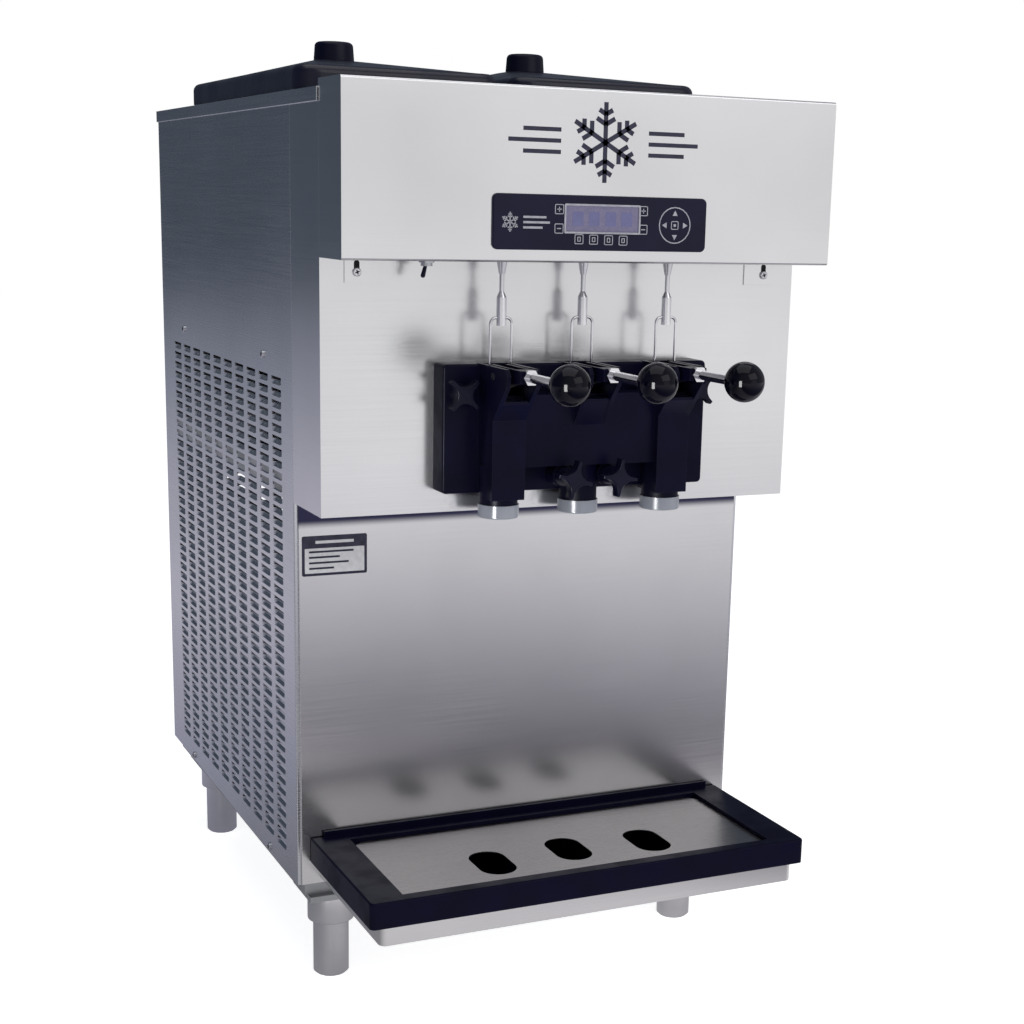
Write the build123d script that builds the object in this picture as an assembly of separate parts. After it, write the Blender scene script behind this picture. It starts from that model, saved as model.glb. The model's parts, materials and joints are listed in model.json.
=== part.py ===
from build123d import *
import math
import os

# Twin-flavour counter-top soft serve machine, in millimetres.
# +Z is up, the front faces -Y, X = 0 is the middle plane and Z = 0 the surface it stands on.
# The origin is the middle of the footprint, under the centre of the overall box.

# ---- cabinet -------------------------------------------------------------------------------
HALF_WIDTH = 280.0
SHEET = 1.5
SEAM = 0.3
BODY_FRONT = -150.0
BODY_BACK = 470.0
BODY_BOTTOM = 126.0
HEAD_FRONT = -250.0
HEAD_BOTTOM = 570.5
DECK_TOP = 1003.0
DECK_LIP = 14.0
DECK_PROUD = 2.0
INNER = HALF_WIDTH - SHEET
PANEL_TOP = DECK_TOP - SHEET

# ---- header cover and controls -------------------------------------------------------------
HEADER_FRONT = -322.0
HEADER_BOTTOM = 837.0
HEADER_TOP = 1010.5
TAB_X = (216.0, 254.0)
TAB_BOTTOM = 812.0
TAB_SCREW = (241.0, 823.0)
BEZEL_HALF = 122.5
BEZEL_Z = (849.5, 905.0)
BEZEL_THICK = 3.0
WINDOW_HALF = 42.5
WINDOW_Z = (867.8, 895.2)
TOGGLE_X, TOGGLE_Y = -178.0, -285.0
TOGGLE_TILT = 15.0

# ---- side louvres --------------------------------------------------------------------------
LOUVRE_COLUMNS, LOUVRE_ROWS = 10, 42
LOUVRE_PITCH_Y, LOUVRE_PITCH_Z = 52.7, 13.2
LOUVRE_LENGTH, LOUVRE_GAP = 38.0, 4.0
LOUVRE_CENTRE = (149.5, 429.0)
SIDE_SCREW_Y = (-36.0, 346.0)
SIDE_SCREW_Z = (133.0, 722.0)
REAR_SCREW_X = 264.0
REAR_SCREW_Z = (180.0, 560.0, 940.0)
SCREW_SHANK, SCREW_HEAD = 2.5, 4.5

# ---- legs ----------------------------------------------------------------------------------
LEG_X = 231.0
LEG_Y = (-120.0, 397.0)
LEG_RADIUS = 20.9
LEG_TOP = 99.0
SOCKET_Z = (69.0, 103.0)
SOCKET_RADIUS = 27.0
LEG_STUD = 6.0
RUNNING = 0.06

# ---- hoppers and lids ----------------------------------------------------------------------
LEFT_HOPPER_X = -163.5
RIGHT_HOPPER_X = 79.0
HOPPER_Y = 62.5
LID_SIZE = (227.0, 475.0)
HOPPER_SIZE = (202.0, 447.0)
HOPPER_WALL = 1.2
HOPPER_FLOOR = 805.0
FEED_Y = -110.0
FEED_BORE = 13.0
LID_BOTTOM = DECK_TOP + SHEET + 0.3
LID_SHOULDER = 1030.0
LID_CROWN = 1050.0
LID_KNOB_RADIUS = 23.5
LID_KNOB_TOP = 1072.0

# ---- freezing cylinders and drive ----------------------------------------------------------
CYLINDER_X = 97.0
CYLINDER_Z = 662.0
BARREL_OUTER, BARREL_INNER = 49.0, 45.0
BARREL_BACK = 120.0
SHAFT = 8.0

# ---- dispensing head -----------------------------------------------------------------------
DOOR_HALF = 156.0
DOOR_Z = (594.0, 730.5)
DOOR_FRONT = -278.0
DOOR_CORNER = 5.0
COLUMN_HALF = 18.7
COLUMN_FRONT = {"left": -316.0, "middle": -307.0, "right": -316.0}
SHOULDER_Z = {"left": 675.0, "middle": 667.0, "right": 675.0}
BRIDGE_BOTTOM = 624.0
BOSS_RADIUS = 12.0
BOSS_FRONT = -300.0
POCKET_HALF = 14.2
POCKET_FLOOR = 700.0
NECK_RADIUS = 20.5
NECK_BOTTOM = 577.0
NOZZLE_BOTTOM = 570.0
SPOOL_RADIUS = 10.0
VALVE_Y = {"left": -290.0, "middle": -282.0, "right": -290.0}
VALVE_X = {"left": -CYLINDER_X, "middle": 0.0, "right": CYLINDER_X}
BALL_Y = {"left": -461.0, "middle": -457.0, "right": -461.0}

# ---- handle mechanism, measured from each valve axis ---------------------------------------
ARM = 24.0
HALF_SWING = 17.5
CROSS_PIN_Z = 713.0
PIVOT_Z = CROSS_PIN_Z + ARM * math.tan(math.radians(HALF_SWING))
PIVOT_PIN = 4.0
CROSS_PIN = 2.5
ROD_Z = 726.0
ROD_RADIUS = 5.0
BALL_RADIUS = 20.5
BAIL_HALF = 12.0
BAIL_WIRE = 1.4
BAIL_TOP = 779.0
EYE_HALF = 1.65
EYE_RADIUS = 4.2
SLEEVE_RADIUS = 5.2
LINK_RADIUS = 2.5

# ---- clamp knobs that hold the head on: (x, z, base face, depth, turn of the lobes) ---------
STUD_RADIUS = 4.0
STAR_RADIUS = 20.5
STAR_GRIP = 12.0
STARS = {
    "upper_left_star_knob": (-139.0, 700.0, DOOR_FRONT, 21.7, 45.0),
    "upper_right_star_knob": (139.0, 700.0, DOOR_FRONT, 21.7, 45.0),
    "lower_left_star_knob": (-26.4, 612.0, BOSS_FRONT, 33.7, -15.0),
    "lower_right_star_knob": (26.4, 612.0, BOSS_FRONT, 33.7, -6.0),
}

# ---- drip tray -----------------------------------------------------------------------------
SHELF_HALF = 253.0
SHELF_FRONT = -360.5
SHELF_Z = (131.5, 153.0)
TRAY_HALF = 265.0
TRAY_FRONT = -365.0
TRAY_BACK = -154.5
TRAY_Z = (153.4, 182.5)
TRAY_WALL = 3.0
BASIN_FLOOR = 138.0
COVER_HALF = 224.0
COVER_Y = (-349.0, -174.0)
COVER_TOP = 178.0
DRAIN_WIDTH, DRAIN_LENGTH = 42.0, 72.0

# ---- rear cord entry -----------------------------------------------------------------------
ENTRY_X, ENTRY_Z = 200.0, 190.0
ENTRY_BORE = 6.0
ENTRY_BACK = 481.5

# ---- refrigeration -------------------------------------------------------------------------
PAN_FLOOR = 112.0
FAN_Y, FAN_Z = 160.0, 335.0
FAN_RADIUS = 148.0
FAN_SHAFT = 4.0


def block(x, y, z):
    """Box that fills the given low and high limits along X, Y and Z."""
    size = [high - low for low, high in (x, y, z)]
    centre = [(high + low) / 2 for low, high in (x, y, z)]
    return Pos(*centre) * Box(*size)


def post(radius, z, x=0.0, y=0.0):
    """Upright cylinder between two heights."""
    return Pos(x, y, sum(z) / 2) * Cylinder(radius, z[1] - z[0])


def bar_y(radius, y, x, z):
    """Cylinder that lies along Y."""
    return Pos(x, sum(y) / 2, z) * Rot(90, 0, 0) * Cylinder(radius, y[1] - y[0])


def bar_x(radius, x, y, z):
    """Cylinder that lies along X."""
    return Pos(sum(x) / 2, y, z) * Rot(0, 90, 0) * Cylinder(radius, x[1] - x[0])


def side_profile(points, x):
    """Slab with the outline given as (y, z) points, between two X limits."""
    face = Face(Wire.make_polygon([(x[0], y, z) for y, z in points], close=True))
    return Solid.extrude(face, Vector(x[1] - x[0], 0, 0))


def mirrored(shape):
    """The same piece on the other side of the middle plane."""
    return mirror(shape, about=Plane.YZ)


def save(name, *solids):
    """Write one sub-part, with each of its pieces as a separate solid."""
    pieces = [solid for shape in solids for solid in shape.solids()]
    export_step(pieces[0] if len(pieces) == 1 else Compound(pieces), f"parts/{name}.step")


# ---- frame and legs ------------------------------------------------------------------------
def angle_post(x_outer, y_outer, z, width=30.0, thickness=3.0):
    """Rolled angle whose heel is the outer corner of the cabinet."""
    x_in = x_outer - math.copysign(width, x_outer)
    y_in = y_outer + width if y_outer < 100.0 else y_outer - width
    x_leg = x_outer - math.copysign(thickness, x_outer)
    y_leg = y_outer + thickness if y_outer < 100.0 else y_outer - thickness
    flat_x = block(sorted((x_outer, x_in)), sorted((y_outer, y_leg)), z)
    flat_y = block(sorted((x_outer, x_leg)), sorted((y_outer, y_in)), z)
    return flat_x + flat_y


def leg_places():
    return [(x, y) for x in (-LEG_X, LEG_X) for y in LEG_Y]


def base_frame():
    """Welded base pan, corner posts, rails, cradles, front plate with its studs, leg sockets."""
    back = BODY_BACK - SHEET
    front = BODY_FRONT + SHEET
    head = HEAD_FRONT + SHEET
    frame = block((-270, 270), (-146, 464), (PAN_FLOOR - 2, 128))
    frame -= block((-268, 268), (-144, 462), (PAN_FLOOR, 130))
    for side in (-1, 1):
        frame += angle_post(side * INNER, front, (BODY_BOTTOM, 600))
        frame += angle_post(side * INNER, back, (BODY_BOTTOM, PANEL_TOP))
        frame += angle_post(side * INNER, head, (HEAD_BOTTOM + SHEET, PANEL_TOP))
        frame += block(sorted((side * 266, side * INNER)), (front, back), (126, 146))
        frame += block(sorted((side * 275.5, side * INNER)), (front, back), (712, 732))
        frame += block(sorted((side * 270, side * INNER)), (head, back), (575, 600))
        frame += block(sorted((side * 270, side * INNER)), (head, back), (975, PANEL_TOP))
    for cross_y in ((head, -218.0), (100.0, 130.0), (180.0, 210.0)):
        frame += block((-INNER, INNER), cross_y, (575, 600))
    plate = block((-172, 172), (head, head + 3), (575, 748))
    for x in (-CYLINDER_X, CYLINDER_X):
        plate += block((x - 30, x + 30), (70, 95), (598, 632))
        plate += block((x - 30, x + 30), (94, 104), (598, 612))
        plate -= bar_y(BARREL_OUTER, (head - 5, BARREL_BACK), x, CYLINDER_Z)
    frame += plate
    for x, z, base, depth, _ in STARS.values():
        frame += bar_y(STUD_RADIUS, (base - depth + 6, head + 3), x, z)
    for x, y in leg_places():
        frame += block((x - 35, x + 35), (y - 35, y + 35), (SOCKET_Z[1], PAN_FLOOR - 2))
        frame += post(SOCKET_RADIUS, SOCKET_Z, x, y)
        frame -= post(LEG_RADIUS + RUNNING, (SOCKET_Z[0] - 1, SOCKET_Z[1]), x, y)
        frame -= post(LEG_STUD + RUNNING, (SOCKET_Z[1] - 1, PAN_FLOOR + 1), x, y)
    for y in SIDE_SCREW_Y:
        for z in SIDE_SCREW_Z:
            frame -= bar_x(SCREW_SHANK, (-290, -268), y, z) + bar_x(SCREW_SHANK, (268, 290), y, z)
    for x in (-REAR_SCREW_X, REAR_SCREW_X):
        for z in REAR_SCREW_Z:
            frame -= bar_y(SCREW_SHANK, (back - 12, back + 5), x, z)
    return frame


def leg(x, y):
    """Tube leg with a chamfered foot and the threaded stud that screws it up or down."""
    tube = post(LEG_RADIUS, (0, LEG_TOP), x, y)
    tube = chamfer(tube.edges().group_by(Axis.Z)[0], 3.0)
    tube -= post(LEG_RADIUS - 2.5, (8, LEG_TOP - 6), x, y)
    return tube + post(LEG_STUD, (LEG_TOP - 1, 146), x, y)


# ---- sheet panels --------------------------------------------------------------------------
def slotted_sheet(width, height, slots, holes, thickness):
    """Flat sheet in XY with rectangular slots (x, y, length, gap) and round holes (x, y, radius)."""
    outer = Wire.make_rect(width, height)
    cuts = []
    for x, y, length, gap in slots:
        cuts.append(Wire.make_rect(length, gap).locate(Location((x, y, 0))))
    for x, y, radius in holes:
        cuts.append(Wire.make_circle(radius, Plane.XY.move(Location((x, y, 0)))))
    return Solid.extrude(Face(outer, cuts), Vector(0, 0, thickness))


def side_panel():
    """Left side sheet with its field of louvre slots and a folded front edge."""
    y_mid = (BODY_FRONT + BODY_BACK - SHEET) / 2
    z_mid = (BODY_BOTTOM + PANEL_TOP) / 2
    slots = []
    for column in range(LOUVRE_COLUMNS):
        y = LOUVRE_CENTRE[0] + (column - (LOUVRE_COLUMNS - 1) / 2) * LOUVRE_PITCH_Y
        for row in range(LOUVRE_ROWS):
            z = LOUVRE_CENTRE[1] + (row - (LOUVRE_ROWS - 1) / 2) * LOUVRE_PITCH_Z
            slots.append((y - y_mid, z - z_mid, LOUVRE_LENGTH, LOUVRE_GAP))
    holes = [(y - y_mid, z - z_mid, SCREW_SHANK + 0.2) for y in SIDE_SCREW_Y for z in SIDE_SCREW_Z]
    size_y = BODY_BACK - SHEET - BODY_FRONT
    sheet = slotted_sheet(size_y, PANEL_TOP - BODY_BOTTOM, slots, holes, SHEET)
    sheet = Location(Plane(origin=(-HALF_WIDTH, y_mid, z_mid), x_dir=(0, 1, 0), z_dir=(1, 0, 0))) * sheet
    flange = block((-INNER, -262), (BODY_FRONT, BODY_FRONT + SHEET), (BODY_BOTTOM, HEAD_BOTTOM))
    return sheet + flange


def rear_panel():
    """Back sheet with its warm-air slots, screw holes and the hole for the cord entry."""
    z_mid = (BODY_BOTTOM + PANEL_TOP) / 2
    slots = []
    for column in range(5):
        for row in range(16):
            slots.append(((column - 2) * 84.0, 300.0 + row * 17.0 - z_mid, 64.0, 6.0))
    holes = [(side * REAR_SCREW_X, z - z_mid, SCREW_SHANK + 0.2)
             for side in (-1, 1) for z in REAR_SCREW_Z]
    holes.append((ENTRY_X, ENTRY_Z - z_mid, 14.0))
    sheet = slotted_sheet(2 * HALF_WIDTH, PANEL_TOP - BODY_BOTTOM, slots, holes, SHEET)
    place = Plane(origin=(0, BODY_BACK, z_mid), x_dir=(1, 0, 0), z_dir=(0, -1, 0))
    return Location(place) * sheet


def hopper_outline(x, size, z, corner):
    return Pos(x, HOPPER_Y, z) * RectangleRounded(*size, corner)


def top_deck():
    """Top sheet with a turned-down lip on three sides and the two hopper openings."""
    outer = HALF_WIDTH + DECK_PROUD
    back = BODY_BACK + DECK_PROUD
    deck = block((-outer, outer), (HEAD_FRONT, back), (DECK_TOP - DECK_LIP, DECK_TOP))
    inside = outer - SHEET
    deck -= block((-inside, inside), (HEAD_FRONT - 1, back - SHEET), (DECK_TOP - DECK_LIP - 1, PANEL_TOP))
    for x in (LEFT_HOPPER_X, RIGHT_HOPPER_X):
        opening = hopper_outline(x, (HOPPER_SIZE[0] + 1, HOPPER_SIZE[1] + 1), PANEL_TOP - 1, 25)
        deck -= extrude(opening, DECK_TOP - PANEL_TOP + 2)
    return deck


def front_lower_panel():
    """Removable lower front sheet, which stands 3 mm in front of the side panels' folded edges."""
    face_y = BODY_FRONT - 3
    half = HALF_WIDTH - 4.5
    panel = block((-half, half), (face_y, face_y + SHEET), (BODY_BOTTOM, HEAD_BOTTOM - 0.2))
    for side in (-1, 1):
        edge = sorted((side * half, side * (half - SHEET)))
        panel += block(edge, (face_y, BODY_FRONT), (BODY_BOTTOM, HEAD_BOTTOM - 0.2))
    return panel


def head_panel():
    """Folded sheet round the overhanging head: face, two side returns and the underside."""
    width = (-HALF_WIDTH, HALF_WIDTH)
    height = (HEAD_BOTTOM, PANEL_TOP)
    head = block(width, (HEAD_FRONT, HEAD_FRONT + SHEET), height)
    for side in (-1, 1):
        side_x = sorted((side * INNER, side * HALF_WIDTH))
        head += block(side_x, (HEAD_FRONT, BODY_FRONT - SEAM), height)
    head += block(width, (HEAD_FRONT, BODY_FRONT - SHEET), (HEAD_BOTTOM, HEAD_BOTTOM + SHEET))
    through = (HEAD_FRONT - 1, HEAD_FRONT + SHEET + 1)
    for x in (-CYLINDER_X, CYLINDER_X):
        head -= bar_y(BARREL_OUTER + 0.5, through, x, CYLINDER_Z)
    for x, z, *_ in STARS.values():
        head -= bar_y(STUD_RADIUS + 0.5, through, x, z)
    for x in (-TAB_SCREW[0], TAB_SCREW[0]):
        head -= bar_y(SCREW_SHANK, through, x, TAB_SCREW[1])
    return head


def header_cover():
    """Box cover over the controls, open towards the head, with a screw tab at each lower corner."""
    rear = HEAD_FRONT
    cover = block((-HALF_WIDTH, HALF_WIDTH), (HEADER_FRONT, rear), (HEADER_BOTTOM, HEADER_TOP))
    cover = fillet(cover.edges().filter_by(Axis.X).group_by(Axis.Y)[0], 2.5)
    inside_z = (HEADER_BOTTOM + SHEET, HEADER_TOP - SHEET)
    cover -= block((-INNER, INNER), (HEADER_FRONT + SHEET, rear + 1), inside_z)
    tab_y = (rear - SHEET, rear)
    cover += block((-INNER, INNER), tab_y, (HEADER_TOP - 20, HEADER_TOP))
    for side in (-1, 1):
        tab_x = sorted((side * TAB_X[0], side * TAB_X[1]))
        cover += block(tab_x, tab_y, (TAB_BOTTOM, HEADER_BOTTOM + SHEET))
        cover -= bar_y(SCREW_SHANK + 0.2, (rear - 5, rear + 5), side * TAB_SCREW[0], TAB_SCREW[1])
    for name in VALVE_X:
        cover -= post(6.0, (HEADER_BOTTOM - 1, HEADER_BOTTOM + 5), VALVE_X[name], VALVE_Y[name])
    return cover - post(6.0, (HEADER_BOTTOM - 1, HEADER_BOTTOM + 5), TOGGLE_X, TOGGLE_Y)


def screw(place):
    """Domed pan-head screw whose head rests on z = 0 and whose shank points down."""
    head = Pos(0, 0, 1.25) * Cylinder(SCREW_HEAD, 2.5)
    head = fillet(head.edges().group_by(Axis.Z)[-1], 1.2)
    return place * (head + Pos(0, 0, -4.5) * Cylinder(SCREW_SHANK, 9))


def cabinet_screws():
    """Screws of the side panels, rear panel and header tabs."""
    screws = []
    for side in (-1, 1):
        for y in SIDE_SCREW_Y:
            for z in SIDE_SCREW_Z:
                screws.append(screw(Pos(side * HALF_WIDTH, y, z) * Rot(0, side * 90, 0)))
        for z in REAR_SCREW_Z:
            screws.append(screw(Pos(side * REAR_SCREW_X, BODY_BACK, z) * Rot(-90, 0, 0)))
        tab_place = Pos(side * TAB_SCREW[0], HEAD_FRONT - SHEET, TAB_SCREW[1])
        screws.append(screw(tab_place * Rot(90, 0, 0)))
    return screws


def power_inlet():
    """Gland for the supply cord: outside nut, threaded body through the rear panel and lock nut."""
    gland = bar_y(13.9, (BODY_BACK - 14, BODY_BACK + 1), ENTRY_X, ENTRY_Z)
    gland += bar_y(18, (BODY_BACK, BODY_BACK + 4), ENTRY_X, ENTRY_Z)
    gland += bar_y(14, (BODY_BACK + 3, ENTRY_BACK), ENTRY_X, ENTRY_Z)
    gland += bar_y(18, (BODY_BACK - 10, BODY_BACK - SHEET), ENTRY_X, ENTRY_Z)
    gland = chamfer(gland.edges().filter_by(GeomType.CIRCLE).group_by(Axis.Y)[-1], 1.5)
    return gland - bar_y(ENTRY_BORE, (BODY_BACK - 20, ENTRY_BACK + 1), ENTRY_X, ENTRY_Z)


# ---- hoppers and lids ----------------------------------------------------------------------
def hopper(x, feed_x):
    """Pressed mix tank that hangs in the deck by its rim, with an outlet spout to the barrel."""
    tank = extrude(hopper_outline(x, HOPPER_SIZE, HOPPER_FLOOR, 24), DECK_TOP - HOPPER_FLOOR)
    rim = extrude(hopper_outline(x, (LID_SIZE[0] - 2, LID_SIZE[1] - 2), DECK_TOP, 24), SHEET)
    tank += rim + post(16, (CYLINDER_Z + 46.2, HOPPER_FLOOR + 1), feed_x, FEED_Y)
    inner = (HOPPER_SIZE[0] - 2 * HOPPER_WALL, HOPPER_SIZE[1] - 2 * HOPPER_WALL)
    floor = HOPPER_FLOOR + HOPPER_WALL
    tank -= extrude(hopper_outline(x, inner, floor, 23), DECK_TOP + 10 - floor)
    return tank - post(FEED_BORE, (CYLINDER_Z, HOPPER_FLOOR + 5), feed_x, FEED_Y)


def feed_tube(x):
    """Air and mix regulating tube that stands in the hopper outlet."""
    tube = post(FEED_BORE, (HOPPER_FLOOR - 60, HOPPER_FLOOR + 150), x, FEED_Y)
    tube -= post(FEED_BORE - 2.5, (HOPPER_FLOOR - 61, HOPPER_FLOOR + 151), x, FEED_Y)
    return tube - bar_x(4, (x - 20, x + 20), FEED_Y, HOPPER_FLOOR + 12)


def lid_crown(x, grow, base, top):
    """Hipped top that rises from the lid's shoulder to a small flat place under the knob."""
    foot = hopper_outline(x, (LID_SIZE[0] - 20 + grow, LID_SIZE[1] - 20 + grow), base, 18)
    peak = Pos(x, HOPPER_Y, top) * RectangleRounded(54 + grow, 54 + grow, 14)
    return loft([foot.face(), peak.face()])


def lid(x):
    """Hollow moulded lid with rounded shoulders, a hipped crown and a rib inside the hopper."""
    shell = extrude(hopper_outline(x, LID_SIZE, LID_BOTTOM, 24), LID_SHOULDER - LID_BOTTOM)
    shell = fillet(shell.edges().group_by(Axis.Z)[-1], 9)
    shell += lid_crown(x, 0, LID_SHOULDER - 0.01, LID_CROWN)
    inner = (LID_SIZE[0] - 8, LID_SIZE[1] - 8)
    hollow = extrude(hopper_outline(x, inner, LID_BOTTOM - 1, 20), LID_SHOULDER - 4 - LID_BOTTOM)
    hollow += lid_crown(x, -24, LID_SHOULDER - 5.1, LID_CROWN - 5)
    shell -= hollow
    rib_outer = (HOPPER_SIZE[0] - 6, HOPPER_SIZE[1] - 6)
    rib_inner = (rib_outer[0] - 5, rib_outer[1] - 5)
    rib = extrude(hopper_outline(x, rib_outer, LID_BOTTOM - 12, 21), LID_SHOULDER - 4 - LID_BOTTOM + 12)
    rib -= extrude(hopper_outline(x, rib_inner, LID_BOTTOM - 13, 19), 60)
    return shell + rib


def lid_knob(x):
    """Low drum knob screwed to the lid's crown."""
    knob = post(LID_KNOB_RADIUS, (LID_CROWN, LID_KNOB_TOP), x, HOPPER_Y)
    return fillet(knob.edges().group_by(Axis.Z)[-1], 5)


# ---- freezing cylinders, dashers and drive -------------------------------------------------
def freezing_cylinder(x):
    """Steel barrel, open at the head, with a mix port on top and a shaft hole in its back wall."""
    barrel = bar_y(BARREL_OUTER, (HEAD_FRONT, BARREL_BACK + 8), x, CYLINDER_Z)
    barrel -= bar_y(BARREL_INNER, (HEAD_FRONT - 1, BARREL_BACK), x, CYLINDER_Z)
    barrel -= bar_y(SHAFT + RUNNING, (BARREL_BACK - 1, BARREL_BACK + 9), x, CYLINDER_Z)
    return barrel - post(16, (CYLINDER_Z + 30, CYLINDER_Z + 60), x, FEED_Y)


def dasher(x):
    """Beater: drive shaft, two end spiders and three scraper blades, with a slow lead."""
    front, back = HEAD_FRONT + 8, BARREL_BACK - 6
    beater = bar_y(SHAFT, (front, BARREL_BACK + 42), x, CYLINDER_Z)
    reach = BARREL_INNER - 2
    for y in (front, back - 6):
        beater += bar_y(reach - 1, (y, y + 6), x, CYLINDER_Z)
        for turn in range(3):
            window = Pos(x, y + 3, CYLINDER_Z) * Rot(0, turn * 120 + 60, 0) * Pos(0, 0, 25)
            beater -= window * Rot(90, 0, 0) * Cylinder(11, 8)
    for turn in range(3):
        blade = Pos(x, (front + back) / 2, CYLINDER_Z) * Rot(0, turn * 120, 0) * Pos(0, 0, reach - 4.5)
        beater += blade * Box(9, back - front, 8)
    return beater


def gearmotor(x):
    """Gearbox with the dasher's socket, and the motor behind it."""
    drive = block((x - 48, x + 48), (BARREL_BACK + 30, 236), (612, 716))
    drive += block((x - 40, x + 40), (180, 210), (600, 614))
    motor = bar_y(56, (234, 400), x, CYLINDER_Z)
    drive += fillet(motor.edges().filter_by(GeomType.CIRCLE).group_by(Axis.Y)[-1], 8)
    return drive - bar_y(SHAFT + RUNNING, (BARREL_BACK + 29, BARREL_BACK + 46), x, CYLINDER_Z)


# ---- refrigeration -------------------------------------------------------------------------
def compressor():
    """Hermetic can on a foot plate, with two pipe stubs and a terminal box."""
    x, y = 110.0, 300.0
    can = post(80, (PAN_FLOOR + 4, PAN_FLOOR + 220), x, y)
    can = fillet(can.edges().group_by(Axis.Z)[-1], 40)
    can += block((x - 95, x + 95), (y - 65, y + 65), (PAN_FLOOR, PAN_FLOOR + 5))
    can += block((x - 100, x - 70), (y - 30, y + 30), (PAN_FLOOR + 80, PAN_FLOOR + 150))
    can += post(5, (PAN_FLOOR + 200, PAN_FLOOR + 250), x + 25, y)
    return can + post(7, (PAN_FLOOR + 200, PAN_FLOOR + 250), x - 25, y)


def condenser():
    """Finned condenser block behind the left louvres, on two feet, with the fan's shroud."""
    coil_x = (-262, -226)
    coil = block(coil_x, (-20, 340), (140, 520))
    coil += block(coil_x, (-20, 0), (PAN_FLOOR, 141)) + block(coil_x, (320, 340), (PAN_FLOOR, 141))
    shroud_half = FAN_RADIUS + 17
    shroud = block((-227, -200), (FAN_Y - shroud_half, FAN_Y + shroud_half),
                   (FAN_Z - shroud_half, FAN_Z + shroud_half))
    return coil + shroud - bar_x(FAN_RADIUS + 6, (-226, -190), FAN_Y, FAN_Z)


def fan_motor():
    """Fan motor on a bent bracket that stands on the base pan."""
    motor = bar_x(40, (-184, -112), FAN_Y, FAN_Z)
    motor = fillet(motor.edges().filter_by(GeomType.CIRCLE), 5)
    motor += block((-156, -140), (FAN_Y - 25, FAN_Y + 25), (PAN_FLOOR, FAN_Z))
    motor += block((-180, -120), (FAN_Y - 40, FAN_Y + 40), (PAN_FLOOR, PAN_FLOOR + 3))
    return motor - bar_x(FAN_SHAFT + RUNNING, (-190, -150), FAN_Y, FAN_Z)


def fan_blade():
    """Five pitched blades on a hub, with the shaft that runs in the motor."""
    fan = bar_x(28, (-216, -190), FAN_Y, FAN_Z) + bar_x(FAN_SHAFT, (-195, -156), FAN_Y, FAN_Z)
    for turn in range(5):
        blade = Pos(-203, FAN_Y, FAN_Z) * Rot(turn * 72, 0, 0) * Pos(0, 0, (FAN_RADIUS + 20) / 2)
        fan += blade * Rot(0, 0, 24) * Box(2.5, 56, FAN_RADIUS - 24)
    return fan & bar_x(FAN_RADIUS, (-230, -150), FAN_Y, FAN_Z)


# ---- controls ------------------------------------------------------------------------------
def rounded_plate(half, z, y, corner):
    """Upright plate facing -Y with rounded corners."""
    place = Plane(origin=(0, y[1], sum(z) / 2), x_dir=(1, 0, 0), z_dir=(0, -1, 0))
    return extrude(place * RectangleRounded(2 * half, z[1] - z[0], corner), y[1] - y[0])


def control_bezel():
    """Raised black keypad housing with the display opening."""
    bezel = rounded_plate(BEZEL_HALF, BEZEL_Z, (HEADER_FRONT - BEZEL_THICK, HEADER_FRONT), 6)
    bezel = fillet(bezel.faces().sort_by(Axis.Y)[0].edges(), 1.2)
    return bezel - block((-WINDOW_HALF, WINDOW_HALF), (HEADER_FRONT - 10, HEADER_FRONT + 1), WINDOW_Z)


def control_board():
    """Circuit board behind the header's face, with four stand-offs, relays and a connector."""
    board = block((-112, 112), (-311, -309.4), (850, 906))
    for x in (-105, 105):
        for z in (855, 901):
            board += bar_y(3, (HEADER_FRONT + SHEET, -310), x, z)
    for place in range(4):
        board += block((-90 + place * 26, -72 + place * 26), (-310, -294), (862, 878))
    return board + block((50, 92), (-310, -298), (884, 896))


def toggle_bushing():
    """Threaded collar and nut of the toggle switch, under the header."""
    bushing = post(6.0, (HEADER_BOTTOM - 6, HEADER_BOTTOM + 8), TOGGLE_X, TOGGLE_Y)
    nut = Pos(TOGGLE_X, TOGGLE_Y, HEADER_BOTTOM - 2.5) * extrude(RegularPolygon(8.5, 6), 2.5)
    body = Pos(TOGGLE_X, TOGGLE_Y, HEADER_BOTTOM + 16.5) * Box(18, 18, 17)
    mouth = Pos(TOGGLE_X, TOGGLE_Y, HEADER_BOTTOM - 2) * Cone(4.0, 5.2, 16, rotation=(180, 0, 0))
    return bushing + nut + body - mouth


def toggle_lever():
    """Tapered lever of the toggle switch, thrown to the left at rest."""
    lever = Pos(0, 0, -7.5) * Cone(2.4, 1.6, 15) + Pos(0, 0, -15) * Sphere(2.4)
    return Pos(TOGGLE_X, TOGGLE_Y, HEADER_BOTTOM - 1) * Rot(0, TOGGLE_TILT, 0) * lever


def link_guide(x, y):
    """Tapered bush in the header's floor through which a link rod slides."""
    guide = Pos(x, y, HEADER_BOTTOM - 6.5) * Cone(3.4, 5.8, 13)
    guide += post(5.9, (HEADER_BOTTOM - 1, HEADER_BOTTOM + 4), x, y)
    return guide - post(LINK_RADIUS + RUNNING, (HEADER_BOTTOM - 14, HEADER_BOTTOM + 5), x, y)


# ---- dispensing head -----------------------------------------------------------------------
def cheek(name, side):
    """One upright ear of the clevis in front of a column, which carries the handle's pivot pin."""
    x, y = VALVE_X[name], VALVE_Y[name]
    outline = [(y + 20, 690), (y - 10, 690), (COLUMN_FRONT[name], SHOULDER_Z[name]), (y - 48, 699),
               (y - 60, 712), (y - 62, 724), (y - 57, 731), (y + 20, 731)]
    return side_profile(outline, sorted((x + side * POCKET_HALF, x + side * COLUMN_HALF)))


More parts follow.
